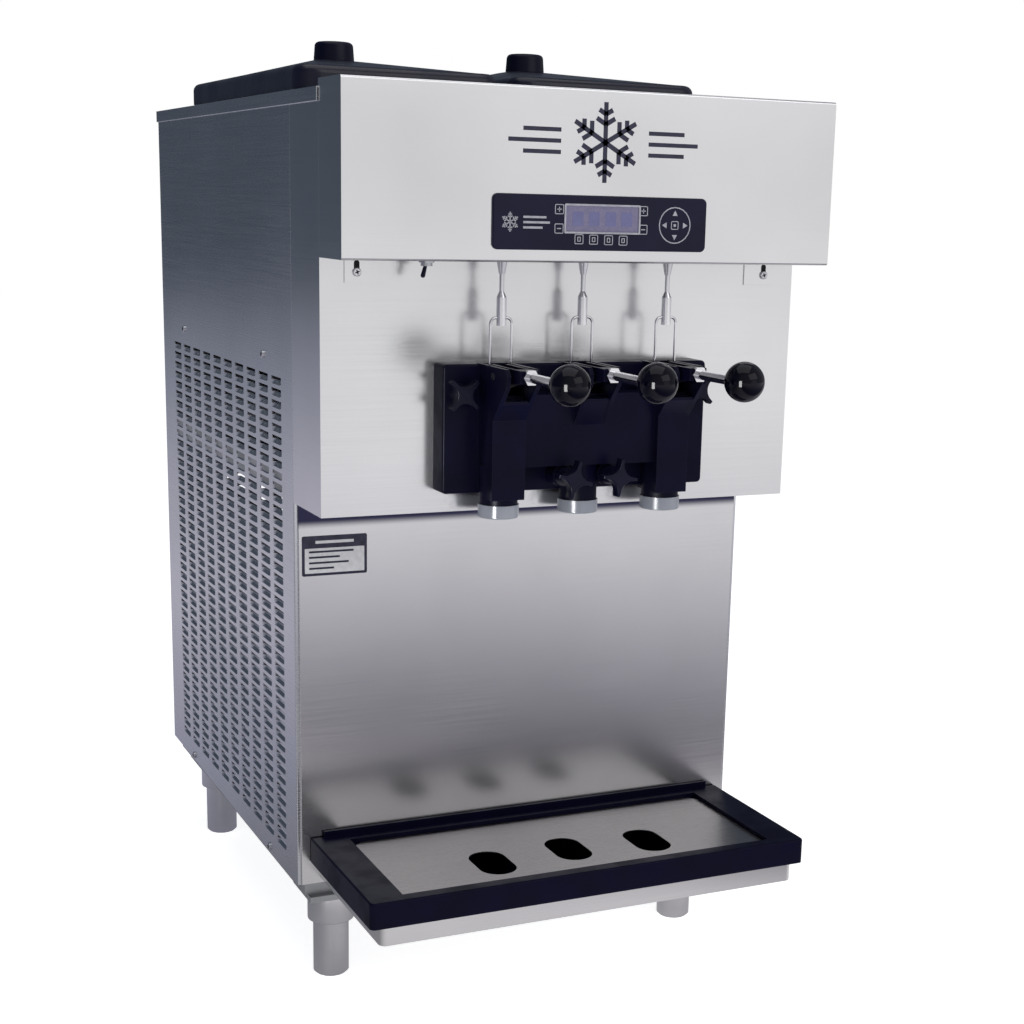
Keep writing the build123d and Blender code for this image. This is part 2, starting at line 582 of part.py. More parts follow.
def clevis_web(name):
    """Sloping web that joins the two cheeks under the handle, clear of the fork's swing."""
    x, y, front = VALVE_X[name], VALVE_Y[name], COLUMN_FRONT[name]
    outline = [(front + 4, SHOULDER_Z[name]), (front, SHOULDER_Z[name]), (y - 43, 693.5),
               (y - 43, 696.5), (front + 4, 698)]
    return side_profile(outline, (x - COLUMN_HALF + 1, x + COLUMN_HALF - 1))


def head_passages():
    """Product ways from both barrels to their own valves, and from both to the middle valve."""
    ways = [bar_x(4, (-0.72 * CYLINDER_X, 0.72 * CYLINDER_X), -263, 645)]
    for x in (-CYLINDER_X, CYLINDER_X):
        ways.append(bar_y(7, (-285, HEAD_FRONT + 1), x, 634))
        ways.append(bar_y(6, (-269, HEAD_FRONT + 1), x * 0.72, 645))
    return ways + [bar_y(6, (-278, -259), 0, 645)]


def dispensing_head():
    """Moulded head: clamp plate, outer columns, bridge between them, clevises, necks and bosses."""
    centre = Plane(origin=(0, HEAD_FRONT, sum(DOOR_Z) / 2), x_dir=(1, 0, 0), z_dir=(0, -1, 0))
    outline = centre * RectangleRounded(2 * DOOR_HALF, DOOR_Z[1] - DOOR_Z[0], DOOR_CORNER)
    head = extrude(outline, HEAD_FRONT - DOOR_FRONT)
    head = fillet(head.faces().sort_by(Axis.Y)[0].edges(), 2.5)
    bridge_x = (-CYLINDER_X, CYLINDER_X)
    head += block(bridge_x, (COLUMN_FRONT["middle"], DOOR_FRONT + 5), (BRIDGE_BOTTOM, POCKET_FLOOR))
    for x in bridge_x:
        column_x = (x - COLUMN_HALF, x + COLUMN_HALF)
        column_y = (COLUMN_FRONT["left"], DOOR_FRONT + 5)
        head += block(column_x, column_y, (DOOR_Z[0] - 3, POCKET_FLOOR))
    for name, x in VALVE_X.items():
        y = VALVE_Y[name]
        head += post(NECK_RADIUS, (NECK_BOTTOM, BRIDGE_BOTTOM + 2), x, y)
        head += cheek(name, -1) + cheek(name, 1) + clevis_web(name)
        head -= block((x - POCKET_HALF, x + POCKET_HALF), (y - 50, y + 20), (POCKET_FLOOR, 740))
        head -= post(SPOOL_RADIUS + RUNNING, (NECK_BOTTOM - 1, POCKET_FLOOR + 1), x, y)
        head -= bar_x(PIVOT_PIN, (x - 20, x + 20), y - ARM, PIVOT_Z)
    for x, z, base, *_ in STARS.values():
        if base < DOOR_FRONT:
            head += bar_y(BOSS_RADIUS, (BOSS_FRONT, DOOR_FRONT + 3), x, z)
        head -= bar_y(STUD_RADIUS + 0.3, (BOSS_FRONT - 1, HEAD_FRONT + 1), x, z)
    for way in head_passages():
        head -= way
    return head


def nozzle_cap(x, y):
    """Cap on a column's neck, with the star-shaped outlet that shapes the ribbon."""
    cap = post(22, (NOZZLE_BOTTOM, NECK_BOTTOM + 7), x, y)
    cap = chamfer(cap.edges().group_by(Axis.Z)[0], 1.0)
    cap -= post(NECK_RADIUS, (NECK_BOTTOM, NECK_BOTTOM + 8), x, y)
    tips = [(r * math.cos(k * math.pi / 6), r * math.sin(k * math.pi / 6))
            for k, r in enumerate((10.0, 5.5) * 6)]
    star = Pos(x, y, NOZZLE_BOTTOM - 1) * make_face(Polyline(*tips, close=True))
    return cap - extrude(star, 10)


def star_knob(x, z, base, depth, turn):
    """Four-lobed clamp knob: a lobed grip on a round hub, screwed on its stud."""
    place = Plane(origin=(x, base - 0.3, z), x_dir=(1, 0, 0), z_dir=(0, -1, 0))
    grip = Circle(STAR_RADIUS)
    for k in range(4):
        angle = math.radians(turn + 45 + k * 90)
        grip -= Pos(22.5 * math.cos(angle), 22.5 * math.sin(angle)) * Circle(11.5)
    knob = place * (extrude(grip, STAR_GRIP).moved(Location((0, 0, depth - STAR_GRIP))))
    knob = fillet(knob.faces().sort_by(Axis.Y)[0].edges(), 1.5)
    hub = depth - STAR_GRIP + 4
    knob += place * Pos(0, 0, hub / 2) * Cone(11, 9, hub)
    return knob - bar_y(STUD_RADIUS + RUNNING, (base - depth + 5, base + 1), x, z)


# ---- handles, valve spools and links -------------------------------------------------------
def handle_fork(name):
    """Forked lever: two arms with the slotted eyes for the cross pin, and the rod's boss."""
    x, y = VALVE_X[name], VALVE_Y[name]
    pivot_y = y - ARM
    outline = [(pivot_y - 52, 718), (pivot_y - 52, 731), (y + 2, 731), (y + 6.5, 726.5), (y + 6.5, 707.5),
               (y - 10, 706.5), (pivot_y - 21, 715)]
    fork = side_profile(outline, (x - 10, x + 10))
    fork -= block((x - 6, x + 6), (pivot_y - 31, y + 20), (700, 740))
    fork -= bar_x(PIVOT_PIN + RUNNING, (x - 11, x + 11), pivot_y, PIVOT_Z)
    fork -= bar_y(ROD_RADIUS, (pivot_y - 53, pivot_y - 38), x, ROD_Z - 1.5)
    slope = Rot(-HALF_SWING, 0, 0)
    reach = ARM / math.cos(math.radians(HALF_SWING)) - 0.6
    slot = Box(22, 2 * (CROSS_PIN + 1.4), 2 * (CROSS_PIN + 0.5))
    return fork - Pos(x, pivot_y, PIVOT_Z) * slope * Pos(0, reach, 0) * slot


def pivot_pin(name):
    """Pin pressed through both cheeks, on which the fork turns."""
    reach = COLUMN_HALF + 0.2
    x = VALVE_X[name]
    return bar_x(PIVOT_PIN, (x - reach, x + reach), VALVE_Y[name] - ARM, PIVOT_Z)


def handle_rod(name):
    """Polished rod from the fork into the ball, with a lock nut against the fork."""
    x, pivot_y = VALVE_X[name], VALVE_Y[name] - ARM
    z = ROD_Z - 1.5
    rod = bar_y(ROD_RADIUS, (BALL_Y[name] + 6, pivot_y - 38), x, z)
    nut_place = Plane(origin=(x, pivot_y - 52, z), x_dir=(1, 0, 0), z_dir=(0, -1, 0))
    return rod + extrude(nut_place * RegularPolygon(8.5, 6), 5)


def ball_knob(name):
    """Glossy ball grip with a small flat where the rod enters."""
    x, y = VALVE_X[name], BALL_Y[name]
    ball = Pos(x, y, ROD_Z) * Sphere(BALL_RADIUS)
    ball -= Pos(x, y + BALL_RADIUS, ROD_Z) * Box(20, 2.4, 20)
    return ball - bar_y(ROD_RADIUS, (y + 6, y + BALL_RADIUS + 1), x, ROD_Z - 1.5)


def valve_spool(name):
    """Draw valve: plunger in the column's bore, flat tongue and the cross pin that lifts it."""
    x, y = VALVE_X[name], VALVE_Y[name]
    spool = post(SPOOL_RADIUS, (NECK_BOTTOM + 8, 698), x, y)
    spool += block((x - 5, x + 5), (y - 8, y + 8), (697, 721))
    return spool + bar_x(CROSS_PIN, (x - 13.4, x + 13.4), y, CROSS_PIN_Z)


def draw_link(name):
    """Switch link: rod with its sleeve, and the wire bail that hooks on the cross pin."""
    x, y = VALVE_X[name], VALVE_Y[name]
    path = FilletPolyline((x - BAIL_HALF, y, CROSS_PIN_Z + 3), (x - BAIL_HALF, y, BAIL_TOP),
                          (x + BAIL_HALF, y, BAIL_TOP), (x + BAIL_HALF, y, CROSS_PIN_Z + 3), radius=6)
    bail = sweep(Plane(origin=path @ 0, z_dir=path % 0) * Circle(BAIL_WIRE), path)
    for side in (-1, 1):
        eye = sorted((x + side * (BAIL_HALF - EYE_HALF), x + side * (BAIL_HALF + EYE_HALF)))
        bail += bar_x(EYE_RADIUS, eye, y, CROSS_PIN_Z)
        bail -= bar_x(CROSS_PIN, (eye[0] - 1, eye[1] + 1), y, CROSS_PIN_Z)
    sleeve = post(SLEEVE_RADIUS, (771, 800), x, y) + Pos(x, y, 803) * Cone(SLEEVE_RADIUS, LINK_RADIUS, 6)
    rod = post(LINK_RADIUS, (800, 905), x, y)
    return sleeve + rod - bar_x(BAIL_WIRE, (x - 8, x + 8), y, BAIL_TOP), bail


# ---- drip tray -----------------------------------------------------------------------------
def tray_shelf():
    """Folded stainless shelf on the lower panel, open on top, that holds the drip tray."""
    back = BODY_FRONT - 3
    shelf = block((-SHELF_HALF, SHELF_HALF), (SHELF_FRONT, back), SHELF_Z)
    shelf = fillet(shelf.edges().filter_by(Axis.Z).group_by(Axis.Y)[0], 8)
    pocket = block((-SHELF_HALF + SHEET, SHELF_HALF - SHEET), (SHELF_FRONT + SHEET, back - SHEET),
                   (SHELF_Z[0] + SHEET, SHELF_Z[1] + 1))
    return shelf - fillet(pocket.edges().filter_by(Axis.Z).group_by(Axis.Y)[0], 6.5)


def around_cover(grow, z):
    """Box with the cover plate's outline, grown or shrunk on every side."""
    return block((-COVER_HALF - grow, COVER_HALF + grow), (COVER_Y[0] - grow, COVER_Y[1] + grow), z)


def drip_tray():
    """Moulded tray: deep rim that laps over the shelf, ledge for the cover, basin and rear lip."""
    rim = block((-TRAY_HALF, TRAY_HALF), (TRAY_FRONT, TRAY_BACK), TRAY_Z)
    rim = fillet(rim.edges().filter_by(Axis.Z).group_by(Axis.Y)[0], 6)
    rim = fillet(rim.edges().group_by(Axis.Z)[-1], 2.5)
    inner_x = (-TRAY_HALF + TRAY_WALL, TRAY_HALF - TRAY_WALL)
    inner_y = (TRAY_FRONT + TRAY_WALL, TRAY_BACK - TRAY_WALL)
    rim -= block(inner_x, inner_y, (TRAY_Z[0] - 1, TRAY_Z[1] - TRAY_WALL))
    rim += block((-250, 250), (TRAY_BACK - 4, TRAY_BACK), (TRAY_Z[1] - 4, TRAY_Z[1] + 7))
    ledge = around_cover(TRAY_WALL, (COVER_TOP - 6, TRAY_Z[1] - 1))
    recess = around_cover(0.6, (COVER_TOP - 2, TRAY_Z[1] + 10))
    basin_wall = around_cover(-0.5, (BASIN_FLOOR - TRAY_WALL, COVER_TOP - 2))
    basin = around_cover(-TRAY_WALL, (BASIN_FLOOR, TRAY_Z[1] + 10))
    return rim + ledge + basin_wall - recess - basin


def tray_cover():
    """Stainless cover plate with cut corners and a rounded drain opening under each nozzle."""
    plate = block((-COVER_HALF, COVER_HALF), COVER_Y, (COVER_TOP - 1.7, COVER_TOP))
    plate = chamfer(plate.edges().filter_by(Axis.Z), 12)
    for name, x in VALVE_X.items():
        hole = Pos(x, VALVE_Y[name], COVER_TOP - 5) * SlotOverall(DRAIN_LENGTH, DRAIN_WIDTH, rotation=90)
        plate -= extrude(hole, 10)
    return plate


def main():
    os.makedirs("parts", exist_ok=True)
    save("base_frame", base_frame())
    for x, y in leg_places():
        row = "front" if y < 0 else "rear"
        save(f"{row}_{'left' if x < 0 else 'right'}_leg", leg(x, y))
    left_panel = side_panel()
    save("left_side_panel", left_panel)
    save("right_side_panel", mirrored(left_panel))
    save("rear_panel", rear_panel())
    save("top_deck", top_deck())
    save("front_lower_panel", front_lower_panel())
    save("head_panel", head_panel())
    save("header_cover", header_cover())
    save("cabinet_screws", *cabinet_screws())
    save("power_inlet", power_inlet())
    for side, x, feed_x in (("left", LEFT_HOPPER_X, -CYLINDER_X), ("right", RIGHT_HOPPER_X, CYLINDER_X)):
        save(f"{side}_hopper", hopper(x, feed_x))
        save(f"{side}_lid", lid(x))
        save(f"{side}_lid_knob", lid_knob(x))
        save(f"{side}_dasher", dasher(feed_x))
    save("feed_tubes", feed_tube(-CYLINDER_X), feed_tube(CYLINDER_X))
    save("freezing_cylinders", freezing_cylinder(-CYLINDER_X), freezing_cylinder(CYLINDER_X))
    save("gearmotors", gearmotor(-CYLINDER_X), gearmotor(CYLINDER_X))
    save("compressor", compressor())
    save("condenser", condenser())
    save("fan_motor", fan_motor())
    save("fan_blade", fan_blade())
    save("control_bezel", control_bezel())
    window_y = (HEADER_FRONT - BEZEL_THICK + 0.6, HEADER_FRONT)
    save("display_window", block((-WINDOW_HALF, WINDOW_HALF), window_y, WINDOW_Z))
    save("control_board", control_board())
    save("toggle_bushing", toggle_bushing())
    save("toggle_lever", toggle_lever())
    save("dispensing_head", dispensing_head())
    save("link_guides", *[link_guide(x, VALVE_Y[name]) for name, x in VALVE_X.items()])
    save("nozzle_caps", *[nozzle_cap(x, VALVE_Y[name]) for name, x in VALVE_X.items()])
    save("pivot_pins", *[pivot_pin(name) for name in VALVE_X])
    for name, place in STARS.items():
        save(name, star_knob(*place))
    for name in VALVE_X:
        save(f"{name}_handle_fork", handle_fork(name))
        save(f"{name}_handle_rod", handle_rod(name))
        save(f"{name}_ball_knob", ball_knob(name))
        save(f"{name}_valve_spool", valve_spool(name))
        save(f"{name}_draw_link", *draw_link(name))
    save("tray_shelf", tray_shelf())
    save("drip_tray", drip_tray())
    save("tray_cover", tray_cover())


main()
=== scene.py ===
import json
import logging
import math
from dataclasses import dataclass, field
from enum import Enum

import bmesh
import bpy
import numpy as np
from mathutils import Matrix, Vector


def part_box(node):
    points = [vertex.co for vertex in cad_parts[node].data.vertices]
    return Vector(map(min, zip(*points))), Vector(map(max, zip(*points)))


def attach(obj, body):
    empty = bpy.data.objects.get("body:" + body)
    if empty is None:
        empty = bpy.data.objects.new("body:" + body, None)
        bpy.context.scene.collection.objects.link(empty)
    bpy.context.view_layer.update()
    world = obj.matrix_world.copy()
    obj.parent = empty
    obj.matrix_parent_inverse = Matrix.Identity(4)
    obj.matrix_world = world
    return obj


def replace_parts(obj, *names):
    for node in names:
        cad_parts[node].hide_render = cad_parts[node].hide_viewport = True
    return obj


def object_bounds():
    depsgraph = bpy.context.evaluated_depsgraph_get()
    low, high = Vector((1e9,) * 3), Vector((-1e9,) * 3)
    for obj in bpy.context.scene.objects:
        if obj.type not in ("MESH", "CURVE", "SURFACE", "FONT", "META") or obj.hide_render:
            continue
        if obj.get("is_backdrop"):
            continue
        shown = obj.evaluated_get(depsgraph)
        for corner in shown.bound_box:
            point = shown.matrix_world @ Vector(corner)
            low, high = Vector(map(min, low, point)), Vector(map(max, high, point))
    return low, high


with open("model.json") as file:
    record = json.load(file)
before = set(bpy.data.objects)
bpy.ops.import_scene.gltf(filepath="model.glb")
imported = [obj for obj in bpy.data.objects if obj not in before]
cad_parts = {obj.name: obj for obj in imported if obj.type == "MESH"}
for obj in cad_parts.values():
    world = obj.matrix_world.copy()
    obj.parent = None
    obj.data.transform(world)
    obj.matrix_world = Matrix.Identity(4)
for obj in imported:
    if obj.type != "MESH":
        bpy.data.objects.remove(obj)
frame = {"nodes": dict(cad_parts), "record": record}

# Twin-flavour counter-top soft serve machine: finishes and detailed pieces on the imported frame.
# Everything is in metres, in the frame's own axes: +Z up, the front faces -Y.

Array = np.ndarray
Colour = tuple[float, float, float]
Point = tuple[float, float, float]
Ends = tuple[float, float]
Output = bpy.types.NodeSocket
LOG = logging.getLogger("soft_serve")
SLIVER = 1e-5  # the least radius that an outline shrinks to
QUARTER = math.pi / 2
LEGS = ("front_left_leg", "front_right_leg", "rear_left_leg", "rear_right_leg")
HANDLES = ("left", "middle", "right")


# ---- shapes --------------------------------------------------------------------------------
class Facing(Enum):
    """The way a shape's height points, given as the directions of its width and depth."""

    UP = ((1, 0, 0), (0, 1, 0))
    FRONT = ((1, 0, 0), (0, 0, 1))
    BACK = ((-1, 0, 0), (0, 0, 1))
    LEFT = ((0, -1, 0), (0, 0, 1))
    RIGHT = ((0, 1, 0), (0, 0, 1))


@dataclass
class Shape:
    """Points and faces of a surface in its own width, depth and height."""

    points: Array
    faces: list[tuple[int, ...]]

    def placed(self, facing: Facing, origin: Point) -> "Shape":
        """Turn the shape to face a direction and move it.

        Args:
            facing: Where the shape's height points.
            origin: Where the shape's own origin goes.

        Returns:
            The shape in the frame's axes.
        """
        width, depth = (np.array(axis, float) for axis in facing.value)
        basis = np.stack([width, depth, np.cross(width, depth)])
        return Shape(self.points @ basis + np.array(origin, float), self.faces)

    def moved(self, offset: Point) -> "Shape":
        """The same shape somewhere else."""
        return Shape(self.points + np.array(offset, float), self.faces)

    def spun(self, degrees: float) -> "Shape":
        """The same shape turned about its own height.

        Args:
            degrees: How far it turns, anticlockwise.

        Returns:
            The turned shape.
        """
        turn = math.radians(degrees)
        spin = np.array([[math.cos(turn), math.sin(turn), 0], [-math.sin(turn), math.cos(turn), 0], [0, 0, 1]])
        return Shape(self.points @ spin, self.faces)


def joined(shapes: list[Shape]) -> Shape:
    """Put several shapes into one.

    Args:
        shapes: The shapes to collect.

    Returns:
        One shape that holds them all, side by side.
    """
    counts = np.cumsum([0] + [len(shape.points) for shape in shapes])
    faces = [tuple(index + int(start) for index in face)
             for shape, start in zip(shapes, counts) for face in shape.faces]
    return Shape(np.concatenate([shape.points for shape in shapes]), faces)


def grid_faces(rows: int, columns: int, wrap_rows: bool = False,
               wrap_columns: bool = True) -> list[tuple[int, ...]]:
    """Four-sided faces between neighbours on a grid of points.

    Args:
        rows: Number of rows.
        columns: Number of points in a row.
        wrap_rows: Whether the last row joins the first.
        wrap_columns: Whether each row closes on itself.

    Returns:
        The faces, as indices into the rows laid end to end.
    """
    row = np.arange(rows if wrap_rows else rows - 1)[:, None]
    column = np.arange(columns if wrap_columns else columns - 1)[None, :]
    right = (column + 1) % columns
    above = (row + 1) % rows
    corners = [row * columns + column, row * columns + right, above * columns + right, above * columns + column]
    return [tuple(face) for face in np.stack(corners, axis=-1).reshape(-1, 4).tolist()]


def stack(half_u: Array, half_v: Array, corner: Array, height: Array, steps: int = 6,
          hollow: bool = False) -> Shape:
    """Pile of rounded rectangles, skinned from the first to the last.

    Each outline is four quarter circles of the corner radius, their centres half a side less
    the radius from the middle; with both halves equal to the radius it is a circle.

    Args:
        half_u: Half width of each outline.
        half_v: Half depth of each outline.
        corner: Corner radius of each outline.
        height: Height of each outline.
        steps: Points along a quarter circle, less one.
        hollow: Joins the last outline to the first instead of capping both ends.

    Returns:
        A closed surface.
    """
    measures = np.broadcast_arrays(half_u, half_v, corner, height)
    half_u, half_v, corner, height = (np.asarray(measure, float)[:, None] for measure in measures)
    angle = np.concatenate([np.linspace(0, QUARTER, steps + 1) + k * QUARTER for k in range(4)])[None, :]
    sign_u = np.repeat([1, -1, -1, 1], steps + 1)[None, :]
    sign_v = np.repeat([1, 1, -1, -1], steps + 1)[None, :]
    u = sign_u * (half_u - corner) + corner * np.cos(angle)
    v = sign_v * (half_v - corner) + corner * np.sin(angle)
    points = np.stack([u, v, np.broadcast_to(height, u.shape)], axis=-1)
    rows, columns = u.shape
    faces = grid_faces(rows, columns, wrap_rows=hollow)
    if not hollow:
        faces += [tuple(range(columns))[::-1], tuple(range((rows - 1) * columns, rows * columns))]
    return Shape(points.reshape(-1, 3), faces)


def quarter_edge(low: float, high: float, radius: float, steps: int = 5) -> tuple[Array, Array]:
    """Side of a plate: straight up, then a quarter circle on to its top.

    Args:
        low: Height where the side starts.
        high: Height of the top.
        radius: Radius of the quarter circle.
        steps: Points on the quarter circle.

    Returns:
        How far in and how high each point is.
    """
    turn = np.linspace(0, QUARTER, steps)
    inset = np.concatenate([[0.0], radius * (1 - np.cos(turn))])
    return inset, np.concatenate([[low], high - radius + radius * np.sin(turn)])


def plate(half_u: float, half_v: float, corner: float, low: float, high: float, edge: float) -> Shape:
    """Rounded plate whose top edge is eased by a quarter circle.

    Args:
        half_u: Half width.
        half_v: Half depth.
        corner: Corner radius of the outline.
        low: Height of the underside.
        high: Height of the top.
        edge: Radius of the eased edge.

    Returns:
        The closed plate.
    """
    inset, height = quarter_edge(low, high, edge)
    return stack(half_u - inset, half_v - inset, np.maximum(corner - inset, SLIVER), height)


def lathe(radius: Array, height: Array, steps: int = 10) -> Shape:
    """Profile of radius against height, carried once round the height axis.

    Args:
        radius: Radius at each place up the profile.
        height: Height of each place.
        steps: Points along a quarter turn, less one.

    Returns:
        The closed round shape.
    """
    radius = np.maximum(np.asarray(radius, float), SLIVER)
    return stack(radius, radius, radius, height, steps)


def frame_ring(half_u: float, half_v: float, corner: float, line: float, low: float, high: float) -> Shape:
    """Flat line of one width round a rounded rectangle.

    Args:
        half_u: Half width outside.
        half_v: Half depth outside.
        corner: Corner radius outside.
        line: Width of the line.
        low: Height of its underside.
        high: Height of its top.

    Returns:
        The closed ring.
    """
    inset = np.array([0, 0, line, line])
    inner = np.maximum(corner - inset, SLIVER)
    return stack(half_u - inset, half_v - inset, inner, [low, high, high, low], hollow=True)


def prism(outline: Array, low: float, high: float) -> Shape:
    """Flat-sided solid on an outline.

    Args:
        outline: Corners in width and depth, anticlockwise.
        low: Height of the underside.
        high: Height of the top.

    Returns:
        The closed prism.
    """
    outline = np.asarray(outline, float)
    count = len(outline)
    points = np.concatenate([np.column_stack([outline, np.full(count, z)]) for z in (low, high)])
    faces = grid_faces(2, count) + [tuple(range(count))[::-1], tuple(range(count, 2 * count))]
    return Shape(points, faces)


def bars(ends: Array, half_width: float, low: float, high: float) -> Shape:
    """Straight printed bars, each a thin box along the line between its two ends.

    Args:
        ends: Rows of start width, start depth, end width, end depth.
        half_width: Half the width of every bar.
        low: Height of the underside.
        high: Height of the top.

    Returns:
        All the bars.
    """
    ends = np.asarray(ends, float).reshape(-1, 2, 2)
    along = ends[:, 1] - ends[:, 0]
    along /= np.linalg.norm(along, axis=1, keepdims=True)
    across = np.stack([-along[:, 1], along[:, 0]], axis=1) * half_width
    corners = np.stack([ends[:, 0] - across, ends[:, 1] - across, ends[:, 1] + across, ends[:, 0] + across], axis=1)
    return joined([prism(outline, low, high) for outline in corners])


def cross(reach: float, half_width: float, low: float, high: float) -> Shape:
    """Level bar and upright bar through one middle.

    Args:
        reach: Length of each arm.
        half_width: Half the width of a bar.
        low: Height of the underside.
        high: Height of the top.

    Returns:
        The cross.
    """
    ends = ((-reach, 0, reach, 0), (0, -reach, 0, reach))
    return joined([bars([end], half_width, low, high) for end in ends])


def linked(name: str, data: bpy.types.ID) -> bpy.types.Object:
    """A new object in the scene.

    Args:
        name: Its name.
        data: Its mesh, light or camera.

    Returns:
        The object.
    """
    made = bpy.data.objects.new(name, data)
    bpy.context.scene.collection.objects.link(made)
    return made


# ---- node groups ---------------------------------------------------------------------------
class Socket(Enum):
    """Kinds of socket on a node group."""

    NUMBER = "NodeSocketFloat"
    VECTOR = "NodeSocketVector"
    COLOUR = "NodeSocketColor"


@dataclass
class GroupMaker:
    """A shader node group under construction, with named sockets."""

    name: str
    inputs: dict[str, Socket]
    outputs: dict[str, Socket]
    tree: bpy.types.NodeTree = field(init=False)
    entry: bpy.types.NodeOutputs = field(init=False)
    exit: bpy.types.NodeInputs = field(init=False)

    def __post_init__(self) -> None:
        """Make the tree, its sockets and its two end nodes."""
        self.tree = bpy.data.node_groups.new(self.name, "ShaderNodeTree")
        for way, sockets in (("INPUT", {"Place": Socket.VECTOR, **self.inputs}), ("OUTPUT", self.outputs)):
            for name, kind in sockets.items():
                self.tree.interface.new_socket(name=name, in_out=way, socket_type=kind.value)
        self.entry = self.tree.nodes.new("NodeGroupInput").outputs
        self.exit = self.tree.nodes.new("NodeGroupOutput").inputs

    def node(self, kind: str, feeds: dict[int | str, object], **settings: object) -> bpy.types.Node:
        """Add a node.

        Args:
            kind: Blender's name for the node type, without its first words.
            feeds: Input name or number, and the socket or plain value that goes into it.
            settings: Properties of the node.

        Returns:
            The node.
        """
        made = self.tree.nodes.new(f"ShaderNode{kind}")
        for key, value in settings.items():
            setattr(made, key, value)
        for key, value in feeds.items():
            if isinstance(value, bpy.types.NodeSocket):
                self.tree.links.new(value, made.inputs[key])
            else:
                made.inputs[key].default_value = value
        return made

    def noise(self, place: Output, scale: Output | float, detail: float, rough: float = 0.5) -> Output:
        """Noise at a place."""
        feeds = {"Vector": place, "Scale": scale, "Detail": detail, "Roughness": rough}
        return self.node("TexNoise", feeds).outputs[0]

    def spread(self, source: Output, low: float, high: float, least: float = 0.0, most: float = 1.0) -> Output:
        """A number between low and high turned into one between least and most."""
        return self.node("MapRange", {0: source, 1: low, 2: high, 3: least, 4: most}).outputs[0]

    def times(self, first: Output, second: Output) -> Output:
        """Two numbers multiplied."""
        return self.node("Math", {0: first, 1: second}, operation="MULTIPLY").outputs[0]

    def give(self, **results: Output) -> bpy.types.NodeTree:
        """Send results out of the group, which is then complete."""
        for name, socket in results.items():
            self.tree.links.new(socket, self.exit[name])
        return self.tree


class Effects:
    """The shared effects, each built once as a node group."""

    def __init__(self) -> None:
        """Build every group."""
        self.grain = self._grain()
        self.cloud = self._cloud()
        self.stipple = self._stipple()
        self.worn_edge = self._worn_edge()
        self.settled_dust = self._settled_dust()

    @staticmethod
    def _grain() -> bpy.types.NodeTree:
        """Brushing: noise on a stretched position, as a streak mask and a height.

        Returns:
            The group.
        """
        make = GroupMaker("brushed_grain", {"Stretch": Socket.VECTOR, "Depth": Socket.NUMBER},
                          {"Streak": Socket.NUMBER, "Height": Socket.NUMBER})
        long = make.node("VectorMath", {0: make.entry["Place"], 1: make.entry["Stretch"]}, operation="MULTIPLY")
        streak = make.noise(long.outputs[0], 1.0, 5.0, 0.65)
        return make.give(Streak=streak, Height=make.times(streak, make.entry["Depth"]))

    @staticmethod
    def _cloud() -> bpy.types.NodeTree:
        """Slow variation between two colours, with its mask.

        Returns:
            The group.
        """
        make = GroupMaker("cloudy_tone", {"Size": Socket.NUMBER, "First": Socket.COLOUR, "Second": Socket.COLOUR},
                          {"Colour": Socket.COLOUR, "Mask": Socket.NUMBER})
        mask = make.spread(make.noise(make.entry["Place"], make.entry["Size"], 3.0), 0.35, 0.65)
        mix = make.node("Mix", {0: mask, 6: make.entry["First"], 7: make.entry["Second"]}, data_type="RGBA")
        return make.give(Colour=mix.outputs[2], Mask=mask)

    @staticmethod
    def _stipple() -> bpy.types.NodeTree:
        """Fine even grain of a moulded surface, as a height.

        Returns:
            The group.
        """
        make = GroupMaker("moulded_stipple", {"Fineness": Socket.NUMBER, "Depth": Socket.NUMBER},
                          {"Height": Socket.NUMBER})
        grain = make.noise(make.entry["Place"], make.entry["Fineness"], 2.0)
        return make.give(Height=make.times(grain, make.entry["Depth"]))

    @staticmethod
    def _worn_edge() -> bpy.types.NodeTree:
        """Mask of rubbed edges: where the rounded normal leaves the true one, broken up by noise.

        Returns:
            The group.
        """
        make = GroupMaker("worn_edge", {"Reach": Socket.NUMBER, "Amount": Socket.NUMBER}, {"Mask": Socket.NUMBER})
        rounded = make.node("Bevel", {"Radius": make.entry["Reach"]}, samples=4)
        true = make.node("NewGeometry", {}).outputs["Normal"]
        dot = make.node("VectorMath", {0: rounded.outputs[0], 1: true}, operation="DOT_PRODUCT").outputs["Value"]
        edge = make.spread(dot, 0.985, 0.86)
        patch = make.spread(make.noise(make.entry["Place"], 60.0, 3.0), 0.3, 0.6, 0.25)
        return make.give(Mask=make.times(make.times(edge, patch), make.entry["Amount"]))

    @staticmethod
    def _settled_dust() -> bpy.types.NodeTree:
        """Mask of faint dust on surfaces that look up.

        Returns:
            The group.
        """
        make = GroupMaker("settled_dust", {"Amount": Socket.NUMBER}, {"Mask": Socket.NUMBER})
        up = make.node("SeparateXYZ", {0: make.node("NewGeometry", {}).outputs["Normal"]})
        flat = make.spread(up.outputs["Z"], 0.4, 1.0)
        patch = make.spread(make.noise(make.entry["Place"], 35.0, 6.0), 0.35, 0.75)
        return make.give(Mask=make.times(make.times(flat, patch), make.entry["Amount"]))


# ---- finishes ------------------------------------------------------------------------------
def stretched(tree: bpy.types.NodeTree, source: Output, ends: Ends, becomes: Ends = (0.0, 1.0),
              smooth: bool = False) -> Output:
    """A number between two ends turned into one between two others.

    Args:
        tree: The tree to put the node in.
        source: The number.
        ends: Its two ends.
        becomes: What they turn into.
        smooth: Whether it eases in and out.

    Returns:
        The stretched number.
    """
    made = tree.nodes.new("ShaderNodeMapRange")
    made.interpolation_type = "SMOOTHSTEP" if smooth else "LINEAR"
    for index, value in enumerate((*ends, *becomes), 1):
        made.inputs[index].default_value = value
    tree.links.new(source, made.inputs[0])
    return made.outputs[0]


